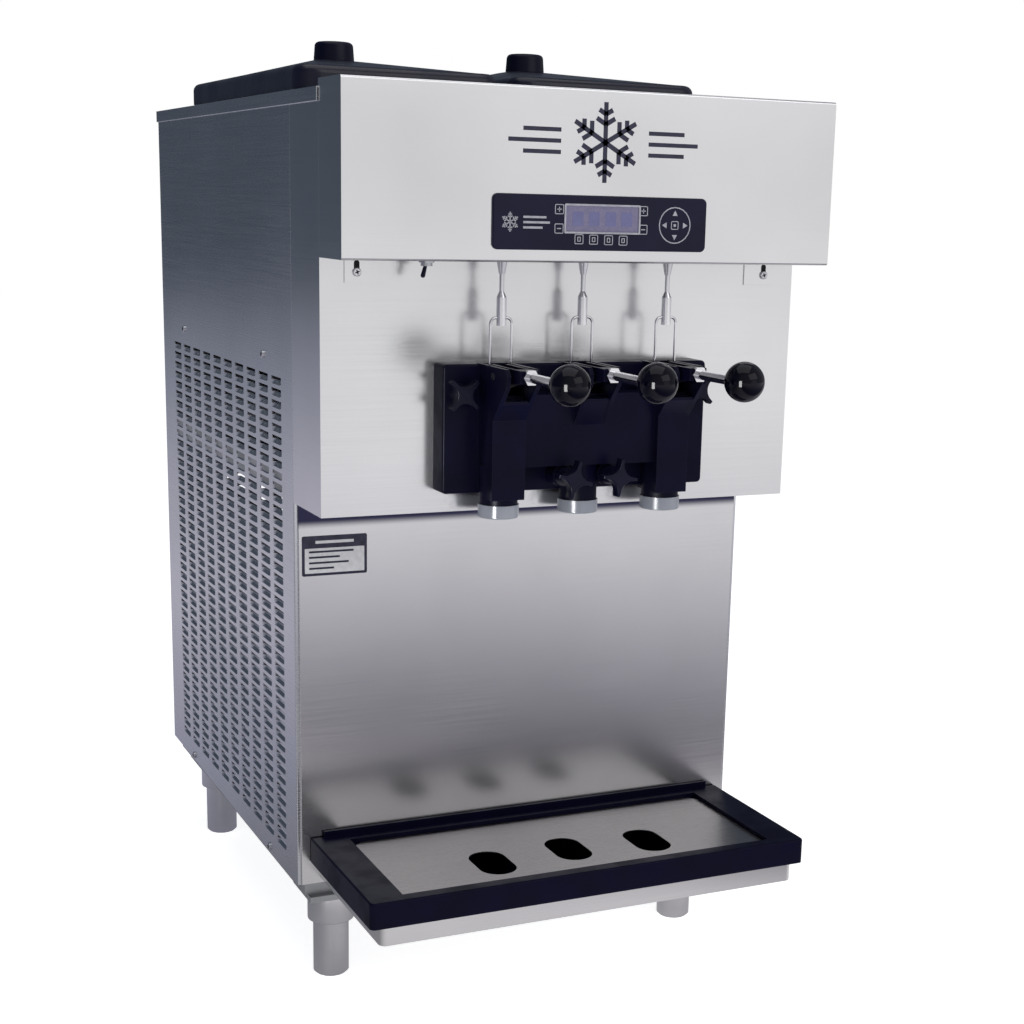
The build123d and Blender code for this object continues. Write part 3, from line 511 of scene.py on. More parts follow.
class ShaderBench:
    """One material's tree: a Principled shader, the object's own coordinates and what feeds them."""

    def __init__(self, name: str) -> None:
        """Start a material with a bare Principled shader.

        Args:
            name: The material's name.
        """
        self.material = bpy.data.materials.new(name)
        self.material.use_nodes = True
        self.tree = self.material.node_tree
        self.shader = self.tree.nodes["Principled BSDF"]
        self.place = self.tree.nodes.new("ShaderNodeTexCoord").outputs["Object"]

    def fix(self, **values: object) -> None:
        """Set uniform values on the shader's own sockets, with underscores for spaces."""
        for name, value in values.items():
            self.shader.inputs[name.replace("_", " ")].default_value = value

    def group(self, tree: bpy.types.NodeTree, **values: object) -> bpy.types.NodeOutputs:
        """Place a shared effect.

        Args:
            tree: The effect's node group.
            values: Values for its sockets.

        Returns:
            The outputs of the group, which already reads the object's coordinates.
        """
        made = self.tree.nodes.new("ShaderNodeGroup")
        made.node_tree = tree
        self.tree.links.new(self.place, made.inputs["Place"])
        for name, value in values.items():
            made.inputs[name].default_value = value
        return made.outputs

    def vary(self, mask: Output, least: float, most: float) -> None:
        """Make the shader's roughness follow the middle half of a mask.

        Args:
            mask: The mask.
            least: Roughness at the low end.
            most: Roughness at the high end.
        """
        self.feed("Roughness", stretched(self.tree, mask, (0.25, 0.75), (least, most)))

    def climb(self, low: float, high: float) -> Output:
        """A mask that goes from none at one height to full at another.

        Args:
            low: The height where it starts.
            high: The height where it is full.

        Returns:
            The mask.
        """
        split = self.tree.nodes.new("ShaderNodeSeparateXYZ")
        self.tree.links.new(self.place, split.inputs[0])
        return stretched(self.tree, split.outputs["Z"], (low, high), smooth=True)

    def tint(self, mask: Output, under: Output, over: Colour) -> Output:
        """A colour laid over another where a mask says.

        Args:
            mask: How much of the upper colour shows.
            under: The lower colour.
            over: The upper colour.

        Returns:
            The mixed colour.
        """
        made = self.tree.nodes.new("ShaderNodeMix")
        made.data_type = "RGBA"
        made.inputs[7].default_value = (*over, 1)
        self.tree.links.new(mask, made.inputs[0])
        self.tree.links.new(under, made.inputs[6])
        return made.outputs[2]

    def feed(self, name: str, source: Output) -> None:
        """Link a socket into the shader."""
        self.tree.links.new(source, self.shader.inputs[name])

    def bump(self, height: Output, strength: float) -> None:
        """Raise the surface.

        Args:
            height: The height in metres.
            strength: How much of it shows.
        """
        made = self.tree.nodes.new("ShaderNodeBump")
        made.inputs["Strength"].default_value = strength
        made.inputs["Distance"].default_value = 1.0
        self.tree.links.new(height, made.inputs["Height"])
        self.feed("Normal", made.outputs[0])


@dataclass(frozen=True)
class BrushedSteel:
    """Stainless sheet brushed one way, with slow changes of tone and a faint rubbed edge.

    Between its two painted shadow heights the sheet darkens: a painted shadow band where it goes in under an
    overhang.
    """

    name: str
    dark: Colour = (0.66, 0.66, 0.67)
    light: Colour = (0.74, 0.74, 0.75)
    smooth: float = 0.17
    rough: float = 0.27
    stretch: Point = (6.0, 6.0, 1400.0)
    depth: float = 0.000005
    painted_shadow_heights: tuple[float, float] | None = None
    edge: Colour = (0.86, 0.86, 0.86)
    shaded: Colour = (0.035, 0.035, 0.075)

    def make(self, effects: Effects) -> bpy.types.Material:
        """Build the material.

        Args:
            effects: The shared node groups.

        Returns:
            The material.
        """
        bench = ShaderBench(self.name)
        grain = bench.group(effects.grain, Stretch=self.stretch, Depth=self.depth)
        cloud = bench.group(effects.cloud, Size=3.2, First=(*self.dark, 1), Second=(*self.light, 1))
        worn = bench.group(effects.worn_edge, Reach=0.0012, Amount=0.5)
        bench.fix(Metallic=1.0)
        tone = bench.tint(worn["Mask"], cloud["Colour"], self.edge)
        # painted shadow: a dark band laid over the sheet between the two heights, under the head's overhang
        if self.painted_shadow_heights:
            tone = bench.tint(bench.climb(*self.painted_shadow_heights), tone, self.shaded)
        bench.feed("Base Color", tone)
        bench.vary(grain["Streak"], self.smooth, self.rough)
        bench.bump(grain["Height"], 0.6)
        return bench.material


@dataclass(frozen=True)
class PolishedSteel:
    """Drawn and polished tube, rod or wire."""

    name: str
    tone: Colour = (0.78, 0.78, 0.80)
    smooth: float = 0.08
    rough: float = 0.2
    stretch: Point = (900.0, 900.0, 12.0)
    dull: Colour = (0.66, 0.66, 0.69)

    def make(self, effects: Effects) -> bpy.types.Material:
        """Build the material.

        Args:
            effects: The shared node groups.

        Returns:
            The material.
        """
        bench = ShaderBench(self.name)
        grain = bench.group(effects.grain, Stretch=self.stretch, Depth=0.000004)
        cloud = bench.group(effects.cloud, Size=14.0, First=(*self.tone, 1), Second=(*self.dull, 1))
        bench.fix(Metallic=1.0)
        bench.feed("Base Color", cloud["Colour"])
        bench.vary(grain["Streak"], self.smooth, self.rough)
        bench.bump(grain["Height"], 0.5)
        return bench.material


@dataclass(frozen=True)
class Moulded:
    """Moulded plastic or enamel: stippled, slightly mottled, paler along its edges and dusty on top."""

    name: str
    first: Colour
    second: Colour
    edge: Colour = (0.10, 0.11, 0.16)
    smooth: float = 0.34
    rough: float = 0.5
    fineness: float = 1500.0
    depth: float = 0.00003
    dust: float = 0.12
    clear: float = 0.0
    metal: float = 0.0
    shine: float = 0.5
    dust_tone: Colour = (0.30, 0.30, 0.31)

    def make(self, effects: Effects) -> bpy.types.Material:
        """Build the material.

        Args:
            effects: The shared node groups.

        Returns:
            The material.
        """
        bench = ShaderBench(self.name)
        cloud = bench.group(effects.cloud, Size=22.0, First=(*self.first, 1), Second=(*self.second, 1))
        stipple = bench.group(effects.stipple, Fineness=self.fineness, Depth=self.depth)
        worn = bench.group(effects.worn_edge, Reach=0.0009, Amount=0.6)
        dust = bench.group(effects.settled_dust, Amount=self.dust)
        rubbed = bench.tint(worn["Mask"], cloud["Colour"], self.edge)
        bench.feed("Base Color", bench.tint(dust["Mask"], rubbed, self.dust_tone))
        bench.vary(cloud["Mask"], self.smooth, self.rough)
        bench.fix(Transmission_Weight=self.clear, Metallic=self.metal, Specular_IOR_Level=self.shine)
        bench.bump(stipple["Height"], 0.5)
        return bench.material


@dataclass(frozen=True)
class Ink:
    """Flat screen print, a little uneven, which can carry a painted glow."""

    name: str
    first: Colour
    second: Colour
    gloss: float = 0.45
    glow: float = 0.0

    def make(self, effects: Effects) -> bpy.types.Material:
        """Build the material.

        Args:
            effects: The shared node groups.

        Returns:
            The material.
        """
        bench = ShaderBench(self.name)
        cloud = bench.group(effects.cloud, Size=180.0, First=(*self.first, 1), Second=(*self.second, 1))
        stipple = bench.group(effects.stipple, Fineness=2400.0, Depth=0.00001)
        bench.feed("Base Color", cloud["Colour"])
        bench.vary(cloud["Mask"], self.gloss, self.gloss + 0.15)
        bench.bump(stipple["Height"], 0.3)
        # painted glow: the ink gives off a faint light of its own colour
        if self.glow:
            bench.feed("Emission Color", cloud["Colour"])
            bench.fix(Emission_Strength=self.glow)
        return bench.material


class Palette:
    """Every finish on the machine, each made once."""

    def __init__(self) -> None:
        """Make all the materials."""
        effects = Effects()
        navy, ink_black, rubbed = (0.0032, 0.0032, 0.0185), (0.0024, 0.0024, 0.0135), (0.022, 0.024, 0.050)
        recipes = (
            BrushedSteel("front_sheet"),
            # painted shadow band on the lower front panel, under the head's overhang
            BrushedSteel("shadow_band_sheet", painted_shadow_heights=(0.5400, 0.5505)),
            # darker copy of the front steel: its lower tone is a painted shade for the sides, deck and rear panel;
            # its rougher grain is the sheet's own
            BrushedSteel("side_sheet", (0.56, 0.58, 0.61), (0.66, 0.67, 0.70), 0.20, 0.32, (6.0, 6.0, 900.0)),
            BrushedSteel("tray_sheet", (0.255, 0.24, 0.245), (0.31, 0.295, 0.295), 0.24, 0.34, (6.0, 900.0, 900.0)),
            BrushedSteel("tank_sheet", (0.60, 0.60, 0.61), (0.70, 0.70, 0.71), 0.3, 0.42, (9.0, 500.0, 500.0)),
            PolishedSteel("polished_tube"),
            PolishedSteel("drawn_rod", stretch=(600.0, 20.0, 600.0)),
            PolishedSteel("zinc_screw", (0.50, 0.50, 0.54), 0.22, 0.35),
            Moulded("head_moulding", navy, ink_black, rubbed, 0.3, 0.44, dust=0.03, shine=0.075),
            Moulded("lid_moulding", (0.006, 0.006, 0.016), navy, rubbed, 0.22, 0.32, dust=0.05, shine=0.35),
            Moulded("knob_moulding", navy, ink_black, rubbed, 0.28, 0.40, dust=0.03, shine=0.16),
            Moulded("tray_moulding", navy, ink_black, rubbed, 0.34, 0.46, dust=0.0, shine=0.07),
            Moulded("keypad_membrane", (0.005, 0.005, 0.026), (0.004, 0.004, 0.020), rubbed, 0.3, 0.36,
                    dust=0.0, shine=0.2),
            Moulded("ball_gloss", (0.002, 0.002, 0.008), (0.001, 0.001, 0.004), (0.01, 0.01, 0.02), 0.04, 0.07,
                    depth=0.000001, dust=0.0, shine=0.19),
            Moulded("nozzle_moulding", (0.35, 0.37, 0.42), (0.29, 0.31, 0.36), (0.42, 0.44, 0.50), 0.14, 0.24,
                    clear=0.2),
            Moulded("food_white", (0.78, 0.78, 0.76), (0.70, 0.70, 0.68), (0.85, 0.85, 0.85), 0.35, 0.5),
            Moulded("frame_zinc", (0.36, 0.37, 0.38), (0.28, 0.29, 0.30), (0.5, 0.5, 0.5), 0.4, 0.6, metal=0.7),
            Moulded("motor_enamel", (0.020, 0.020, 0.022), (0.030, 0.030, 0.032), (0.09, 0.09, 0.09), 0.35, 0.5),
            Moulded("coil_fins", (0.30, 0.31, 0.32), (0.22, 0.23, 0.24), (0.5, 0.5, 0.5), 0.35, 0.55, metal=0.9),
            Moulded("board_lacquer", (0.02, 0.14, 0.06), (0.015, 0.10, 0.045), (0.1, 0.3, 0.15), 0.25, 0.4),
            Moulded("slot_shadow", (0.004, 0.004, 0.008), (0.002, 0.002, 0.004), (0.01, 0.01, 0.01), 0.7, 0.9,
                    dust=0.0),
            Ink("pale_print", (0.40, 0.40, 0.44), (0.32, 0.32, 0.37)),
            Ink("navy_print", (0.012, 0.012, 0.045), (0.008, 0.008, 0.032), 0.3),
            Ink("label_white", (0.62, 0.62, 0.64), (0.55, 0.55, 0.57), 0.35),
            # the display window and its cells carry a faint painted glow
            Ink("screen_lavender", (0.135, 0.125, 0.215), (0.16, 0.145, 0.235), 0.2, 0.1),
            Ink("screen_marks", (0.125, 0.125, 0.26), (0.11, 0.11, 0.235), 0.2, 0.1),
        )
        self.materials = {recipe.name: recipe.make(effects) for recipe in recipes}

    def __getitem__(self, name: str) -> bpy.types.Material:
        """The material of that name."""
        return self.materials[name]


# ---- putting pieces in ---------------------------------------------------------------------
@dataclass
class Workshop:
    """Turns shapes into pieces that ride on the frame's bodies, and dresses the frame's nodes."""

    palette: Palette
    record_slots: dict[str, str]
    body_of: dict[str, str]
    weld: float = 2e-6
    flat: float = 0.4

    def _surface(self, mesh: bpy.types.Mesh, finish: str, sharp: float) -> None:
        """Smooth a mesh up to its crisp edges and give it its material.

        Args:
            mesh: The mesh.
            finish: Its material.
            sharp: Angle above which an edge stays crisp, in degrees.
        """
        mesh.shade_smooth()
        mesh.set_sharp_from_angle(angle=math.radians(sharp))
        mesh.materials.clear()
        mesh.materials.append(self.palette[finish])

    def add(self, name: str, shape: Shape, finish: str, body: str, slot: str,
            sharp: float = 38.0) -> bpy.types.Object:
        """Make a piece.

        Args:
            name: The piece's name.
            shape: Its surface, in place.
            finish: Its material.
            body: The body it rides on.
            slot: The record's material slot; not used.
            sharp: Angle above which an edge stays crisp.

        Returns:
            The piece.
        """
        mesh = bpy.data.meshes.new(name)
        mesh.from_pydata(shape.points.tolist(), [], shape.faces)
        mesh.validate()
        self._surface(mesh, finish, sharp)
        piece = linked(name, mesh)
        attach(piece, body)
        return piece

    def stand_in(self, name: str, shape: Shape, finish: str, node: str, sharp: float = 38.0) -> bpy.types.Object:
        """Make a piece that is shown in place of a frame node.

        Args:
            name: The piece's name.
            shape: Its surface, in place.
            finish: Its material.
            node: The node it stands for, whose body it takes; its slot is passed on unused.
            sharp: Angle above which an edge stays crisp.

        Returns:
            The piece.
        """
        piece = self.add(name, shape, finish, self.body_of[node], self.record_slots[node], sharp)
        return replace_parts(piece, node)

    def dress(self, finish: str, *nodes: str) -> None:
        """Give frame nodes a material.

        Args:
            finish: The material.
            nodes: The frame nodes.
        """
        for node in nodes:
            mesh = frame["nodes"][node].data
            mesh.materials.clear()
            mesh.materials.append(self.palette[finish])

    def ease(self, node: str, finish: str, width: float, segments: int = 2,
             angle: float = 32.0) -> bpy.types.Object:
        """Show a copy of a frame node with its sharp edges eased.

        The copy's loose triangles are merged, flat neighbours are dissolved into one face, and
        a Bevel modifier rounds the edges that are left.

        Args:
            node: The frame node.
            finish: Its material.
            width: How far the rounding reaches from each edge.
            segments: Faces across the rounding.
            angle: Edges that turn by less than this, in degrees, are left alone.

        Returns:
            The piece that stands for the node.
        """
        mesh = bpy.data.meshes.new(f"eased_{node}")
        work = bmesh.new()
        work.from_mesh(frame["nodes"][node].data)
        bmesh.ops.remove_doubles(work, verts=work.verts, dist=self.weld)
        bmesh.ops.dissolve_limit(work, angle_limit=math.radians(self.flat), verts=work.verts, edges=work.edges)
        work.to_mesh(mesh)
        work.free()
        for attribute in ("custom_normal", "sharp_face", "sharp_edge"):
            if attribute in mesh.attributes:
                mesh.attributes.remove(mesh.attributes[attribute])
        self._surface(mesh, finish, angle)
        piece = linked(f"eased_{node}", mesh)
        bevel = piece.modifiers.new("eased_edges", "BEVEL")
        bevel.width, bevel.segments = width, segments
        bevel.limit_method, bevel.angle_limit = "ANGLE", math.radians(angle)
        bevel.use_clamp_overlap = True
        bevel.harden_normals = True
        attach(piece, self.body_of[node])
        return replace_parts(piece, node)


# ---- studio --------------------------------------------------------------------------------
@dataclass(frozen=True)
class Softbox:
    """Rectangular soft light that the camera doesn't see."""

    name: str
    place: Point
    target: Point
    width: float
    height: float
    power: float

    def hang(self) -> bpy.types.Object:
        """Hang the light.

        Returns:
            The light.
        """
        lamp = bpy.data.lights.new(self.name, "AREA")
        lamp.shape, lamp.size, lamp.size_y, lamp.energy = "RECTANGLE", self.width, self.height, self.power
        holder = linked(self.name, lamp)
        holder.location = self.place
        holder.rotation_euler = (Vector(self.target) - Vector(self.place)).to_track_quat("-Z", "Y").to_euler()
        holder.visible_camera = False
        return holder


@dataclass
class Studio:
    """Pale floor, soft lights, quiet surroundings and the camera."""

    camera_place: Point = (-0.8166, -1.9794, 0.8961)
    yaw: float = 25.74
    pitch: float = 13.0
    roll: float = 1.52
    lens: float = 61.41
    shift: tuple[float, float] = (-0.0624, 0.0932)
    sensor: float = 36.0
    front_light: Softbox = Softbox("front_softbox", (1.6, -3.6, 3.0), (0, -0.2, 0.75), 3.6, 2.2, 30.0)
    top_light: Softbox = Softbox("top_softbox", (-0.2, -0.3, 3.6), (0, 0, 0.5), 3.2, 3.2, 34.0)
    side_light: Softbox = Softbox("left_window", (-1.23, -1.47, 0.52), (0, -0.46, 0.735), 0.45, 1.0, 42.0)
    window: bpy.types.Object = field(init=False)
    floor_half: float = 14.0
    floor_glow: float = 0.8
    open_side: Point = (0.434, -0.901, 0.0)
    floor_tones: tuple[tuple[float, Colour], ...] = (
        (-14.0, (0.12, 0.14, 0.18)), (-6.0, (0.30, 0.31, 0.38)), (-2.0, (0.54, 0.52, 0.60)),
        (-0.8, (0.32, 0.32, 0.40)), (-0.3, (0.20, 0.20, 0.23)), (-0.02, (0.26, 0.26, 0.28)),
        (0.16, (0.42, 0.41, 0.42)), (0.62, (0.80, 0.78, 0.80)), (0.72, (0.80, 0.78, 0.80)),
        (0.86, (0.10, 0.09, 0.11)), (1.4, (0.26, 0.255, 0.30)), (1.9, (0.52, 0.51, 0.57)),
        (2.6, (0.80, 0.78, 0.81)), (4.5, (0.98, 0.97, 0.99)), (14.0, (1.0, 1.0, 1.0)))
    room_tones: tuple[tuple[float, Colour], ...] = (
        (-1.0, (0.055, 0.07, 0.095)), (-0.28, (0.12, 0.14, 0.17)), (0.2, (0.34, 0.34, 0.36)),
        (0.93, (0.46, 0.46, 0.48)), (0.97, (0.84, 0.84, 0.85)), (1.0, (0.90, 0.90, 0.91)))

    def build(self) -> None:
        """Put in the floor, the surroundings, the lights and the camera."""
        self._floor()
        self._surroundings()
        self.front_light.hang()
        self.top_light.hang()
        self.window = self.side_light.hang()
        self.window.visible_diffuse = False
        self._camera()
        bpy.context.scene.view_settings.view_transform = "Standard"

    @staticmethod
    def _ramp(tree: bpy.types.NodeTree, source: Output, span: Ends,
              stops: tuple[tuple[float, Colour], ...]) -> Output:
        """A colour that follows a number through a list of stops.

        Args:
            tree: The tree to put the nodes in.
            source: The number.
            span: The numbers at the two ends of the ramp.
            stops: Number and colour of each stop, in rising order.

        Returns:
            The colour.
        """
        node = tree.nodes.new("ShaderNodeValToRGB")
        ramp = node.color_ramp
        places = [((value - span[0]) / (span[1] - span[0]), (*colour, 1)) for value, colour in stops]
        (ramp.elements[0].position, ramp.elements[0].color) = places[0]
        (ramp.elements[1].position, ramp.elements[1].color) = places[-1]
        for place, colour in places[1:-1]:
            ramp.elements.new(place).color = colour
        tree.links.new(stretched(tree, source, span), node.inputs[0])
        return node.outputs[0]

    @staticmethod
    def _along(tree: bpy.types.NodeTree, place: Output, way: Point) -> Output:
        """How far a place lies along a direction.

        Args:
            tree: The tree to put the node in.
            place: The place.
            way: The direction, of length one.

        Returns:
            The distance.
        """
        dot = tree.nodes.new("ShaderNodeVectorMath")
        dot.operation = "DOT_PRODUCT"
        dot.inputs[1].default_value = way
        tree.links.new(place, dot.inputs[0])
        return dot.outputs["Value"]

    def _floor(self) -> None:
        """Lay the floor: white to look at, and mirrored as a room's floor that is brighter to the front."""
        mesh = bpy.data.meshes.new("floor")
        half = self.floor_half
        square = [(-half, -half, 0), (half, -half, 0), (half, half, 0), (-half, half, 0)]
        mesh.from_pydata(square, [], [(0, 1, 2, 3)])
        bench = ShaderBench("pale_floor")
        bench.fix(Base_Color=(0.88, 0.88, 0.88, 1), Roughness=0.75)
        bench.fix(Emission_Color=(1, 1, 1, 1), Emission_Strength=self.floor_glow)
        tree = bench.tree
        tone = self._ramp(tree, self._along(tree, bench.place, self.open_side), (-half, half), self.floor_tones)
        glow = tree.nodes.new("ShaderNodeEmission")
        path = tree.nodes.new("ShaderNodeLightPath")
        choice = tree.nodes.new("ShaderNodeMixShader")
        tree.links.new(tone, glow.inputs["Color"])
        tree.links.new(path.outputs["Is Glossy Ray"], choice.inputs[0])
        tree.links.new(bench.shader.outputs[0], choice.inputs[1])
        tree.links.new(glow.outputs[0], choice.inputs[2])
        tree.links.new(choice.outputs[0], tree.nodes["Material Output"].inputs["Surface"])
        mesh.materials.append(bench.material)
        floor = linked("floor", mesh)
        floor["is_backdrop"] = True

    def _surroundings(self) -> None:
        """Light the room: bright towards the front and right, dim behind, white where seen directly."""
        world = bpy.data.worlds.new("studio_room")
        bpy.context.scene.world = world
        world.use_nodes = True
        tree = world.node_tree
        way = tree.nodes.new("ShaderNodeTexCoord").outputs["Generated"]
        tone = self._ramp(tree, self._along(tree, way, self.open_side), (-1.0, 1.0), self.room_tones)
        path = tree.nodes.new("ShaderNodeLightPath")
        seen = tree.nodes.new("ShaderNodeMix")
        seen.data_type = "RGBA"
        seen.inputs[7].default_value = (1, 1, 1, 1)
        tree.links.new(path.outputs["Is Camera Ray"], seen.inputs[0])
        tree.links.new(tone, seen.inputs[6])
        tree.links.new(seen.outputs[2], tree.nodes["Background"].inputs[0])

    def aim_window(self, names: list[str]) -> None:
        """Let the window light fall only on the round and moulded pieces, and not on the sheets.

        Args:
            names: The names of the objects it falls on.
        """
        lit = bpy.data.collections.new("window_lit")
        for name in names:
            lit.objects.link(bpy.data.objects[name])
        self.window.light_linking.receiver_collection = lit

    def _camera(self) -> None:
        """Set up the camera from its place, its heading and its roll."""
        yaw, pitch, roll = (math.radians(angle) for angle in (self.yaw, self.pitch, self.roll))
        forward = np.array([math.sin(yaw) * math.cos(pitch), math.cos(yaw) * math.cos(pitch), -math.sin(pitch)])
        level = np.array([math.cos(yaw), -math.sin(yaw), 0])
        up = np.cross(level, forward)
        right = math.cos(roll) * level + math.sin(roll) * up
        top = math.cos(roll) * up - math.sin(roll) * level
        data = bpy.data.cameras.new("camera")
        data.sensor_width, data.lens = self.sensor, self.lens
        data.shift_x, data.shift_y = self.shift
        holder = linked("camera", data)
        turn = Matrix(np.column_stack([right, top, -forward]).tolist()).to_4x4()
        holder.matrix_world = Matrix.Translation(self.camera_place) @ turn
        bpy.context.scene.camera = holder


# ---- cabinet -------------------------------------------------------------------------------
@dataclass
class LouvredSide:
    """Side sheet with its field of pressed louvres, a rolled front edge and a folded flange."""

    side: str
    columns: int = 10
    rows: int = 42
    pitch_y: float = 0.0527
    pitch_z: float = 0.0132
    length: float = 0.038
    gap: float = 0.0042
    flap: float = 0.0046
    depth: float = 0.0036
    centre: tuple[float, float] = (0.1495, 0.429)
    roll: float = 0.0015
    flange: float = 0.018
    sheet: float = 0.0012
    arc: int = 6
    flap_points: tuple[int, int] = (4, 7)

    def _centres(self) -> tuple[Array, Array]:
        """Depths of the columns of louvres and heights of their rows."""
        column = self.centre[0] + (np.arange(self.columns) - (self.columns - 1) / 2) * self.pitch_y
        return column, self.centre[1] + (np.arange(self.rows) - (self.rows - 1) / 2) * self.pitch_z

    def _field(self, front: float, back: float, low: float, high: float) -> Shape:
        """Flat sheet with an opening for every louvre.

        Lines of points run along both edges of every opening, so the sheet is the product of
        two rows of numbers, and the faces inside the openings are left out.

        Args:
            front: Depth where the sheet starts.
            back: Depth where it ends.
            low: Its lower edge.
            high: Its upper edge.

        Returns:
            The sheet, as depth, height and a zero distance inwards.
        """
        column, row = self._centres()
        across = np.concatenate([[front], (column[:, None] + np.array([-0.5, 0.5]) * self.length).ravel(), [back]])
        ends = np.array([-self.gap / 2 - self.flap, self.gap / 2])
        upward = np.concatenate([[low], (row[:, None] + ends).ravel(), [high]])
        y, z = np.meshgrid(across, upward)
        points = np.stack([y.ravel(), z.ravel(), np.zeros(y.size)], axis=1)
        faces = grid_faces(len(upward), len(across), wrap_columns=False)
        cell_row, cell_column = np.divmod(np.arange(len(faces)), len(across) - 1)
        solid = ~((cell_row % 2 == 1) & (cell_column % 2 == 1))
        return Shape(points, [face for face, keep in zip(faces, solid) if keep])

    def _flaps(self) -> Shape:
        """Pressed flaps, hinged along their lower edges.

        Each is a grid whose distance inwards is the depth, times the sine of a quarter turn
        times the share of the way up, times one less the sixth power of the share of the way
        from the middle to an end; so the ends and the lower edge stay in the sheet.

        Returns:
            All the flaps, as depth, height and distance inwards.
        """
        up, along = self.flap_points
        t, s = np.meshgrid(np.linspace(-1, 1, along), np.linspace(0, 1, up))
        y0, z0 = (a.ravel()[:, None] for a in np.meshgrid(*self._centres()))
        y = y0 + (t.ravel() * self.length / 2)[None, :]
        z = z0 - self.gap / 2 - self.flap + (s.ravel() * self.flap)[None, :]
        inward = (self.depth * np.sin(s * QUARTER) * (1 - np.abs(t) ** 6)).ravel()
        points = np.stack([y, z, np.broadcast_to(inward, y.shape)], axis=-1)
        one = np.array(grid_faces(up, along, wrap_columns=False))
        faces = (one[None] + (np.arange(len(points)) * t.size)[:, None, None]).reshape(-1, 4)
        return Shape(points.reshape(-1, 3), [tuple(face) for face in faces.tolist()])

    def _front_edge(self, front: float, low: float, high: float, flange_high: float) -> Shape:
        """Rolled front edge with the flange that goes on from it.

        The edge is a quarter circle from the sheet to the front, carried straight up; below
        the flange's top it goes on inwards as a flat strip.

        Args:
            front: Depth of the flange's face.
            low: Lower edge.
            high: Upper edge.
            flange_high: Height where the flange stops.

        Returns:
            The edge, as depth, height and distance inwards.
        """
        turn = np.linspace(0, QUARTER, self.arc)
        y = front + self.roll * (1 - np.sin(turn))
        inward = self.roll * (1 - np.cos(turn))
        edge = np.stack([np.tile(y, 2), np.repeat([low, high], self.arc), np.tile(inward, 2)], axis=1)
        strip = np.array([(front, low, self.roll), (front, flange_high, self.roll),
                          (front, flange_high, self.flange), (front, low, self.flange)])
        rolled = Shape(edge, [face[::-1] for face in grid_faces(2, self.arc, wrap_columns=False)])
        return joined([rolled, Shape(strip, [(0, 1, 2, 3)])])

    def build(self, shop: Workshop) -> None:
        """Make the side, and show it for its frame node.

        Args:
            shop: Where pieces are made.
        """
        node = f"{self.side}_side_panel"
        low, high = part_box(node)
        sheet = self._field(low.y + self.roll, high.y, low.z, high.z)
        flange_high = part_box("head_panel")[0].z
        shape = joined([sheet, self._flaps(), self._front_edge(low.y, low.z, high.z, flange_high)])
        sign = -1.0 if self.side == "left" else 1.0
        outer = low.x if self.side == "left" else high.x
        y, z, inward = shape.points.T
        shape.points = np.stack([outer - sign * inward, y, z], axis=1)
        if self.side == "left":
            shape.faces = [face[::-1] for face in shape.faces]
        piece = shop.stand_in(f"{self.side}_louvred_side", shape, "side_sheet", node)
        piece.data.shade_flat()
        wall = piece.modifiers.new("sheet_thickness", "SOLIDIFY")
        wall.thickness, wall.offset = self.sheet, -1.0


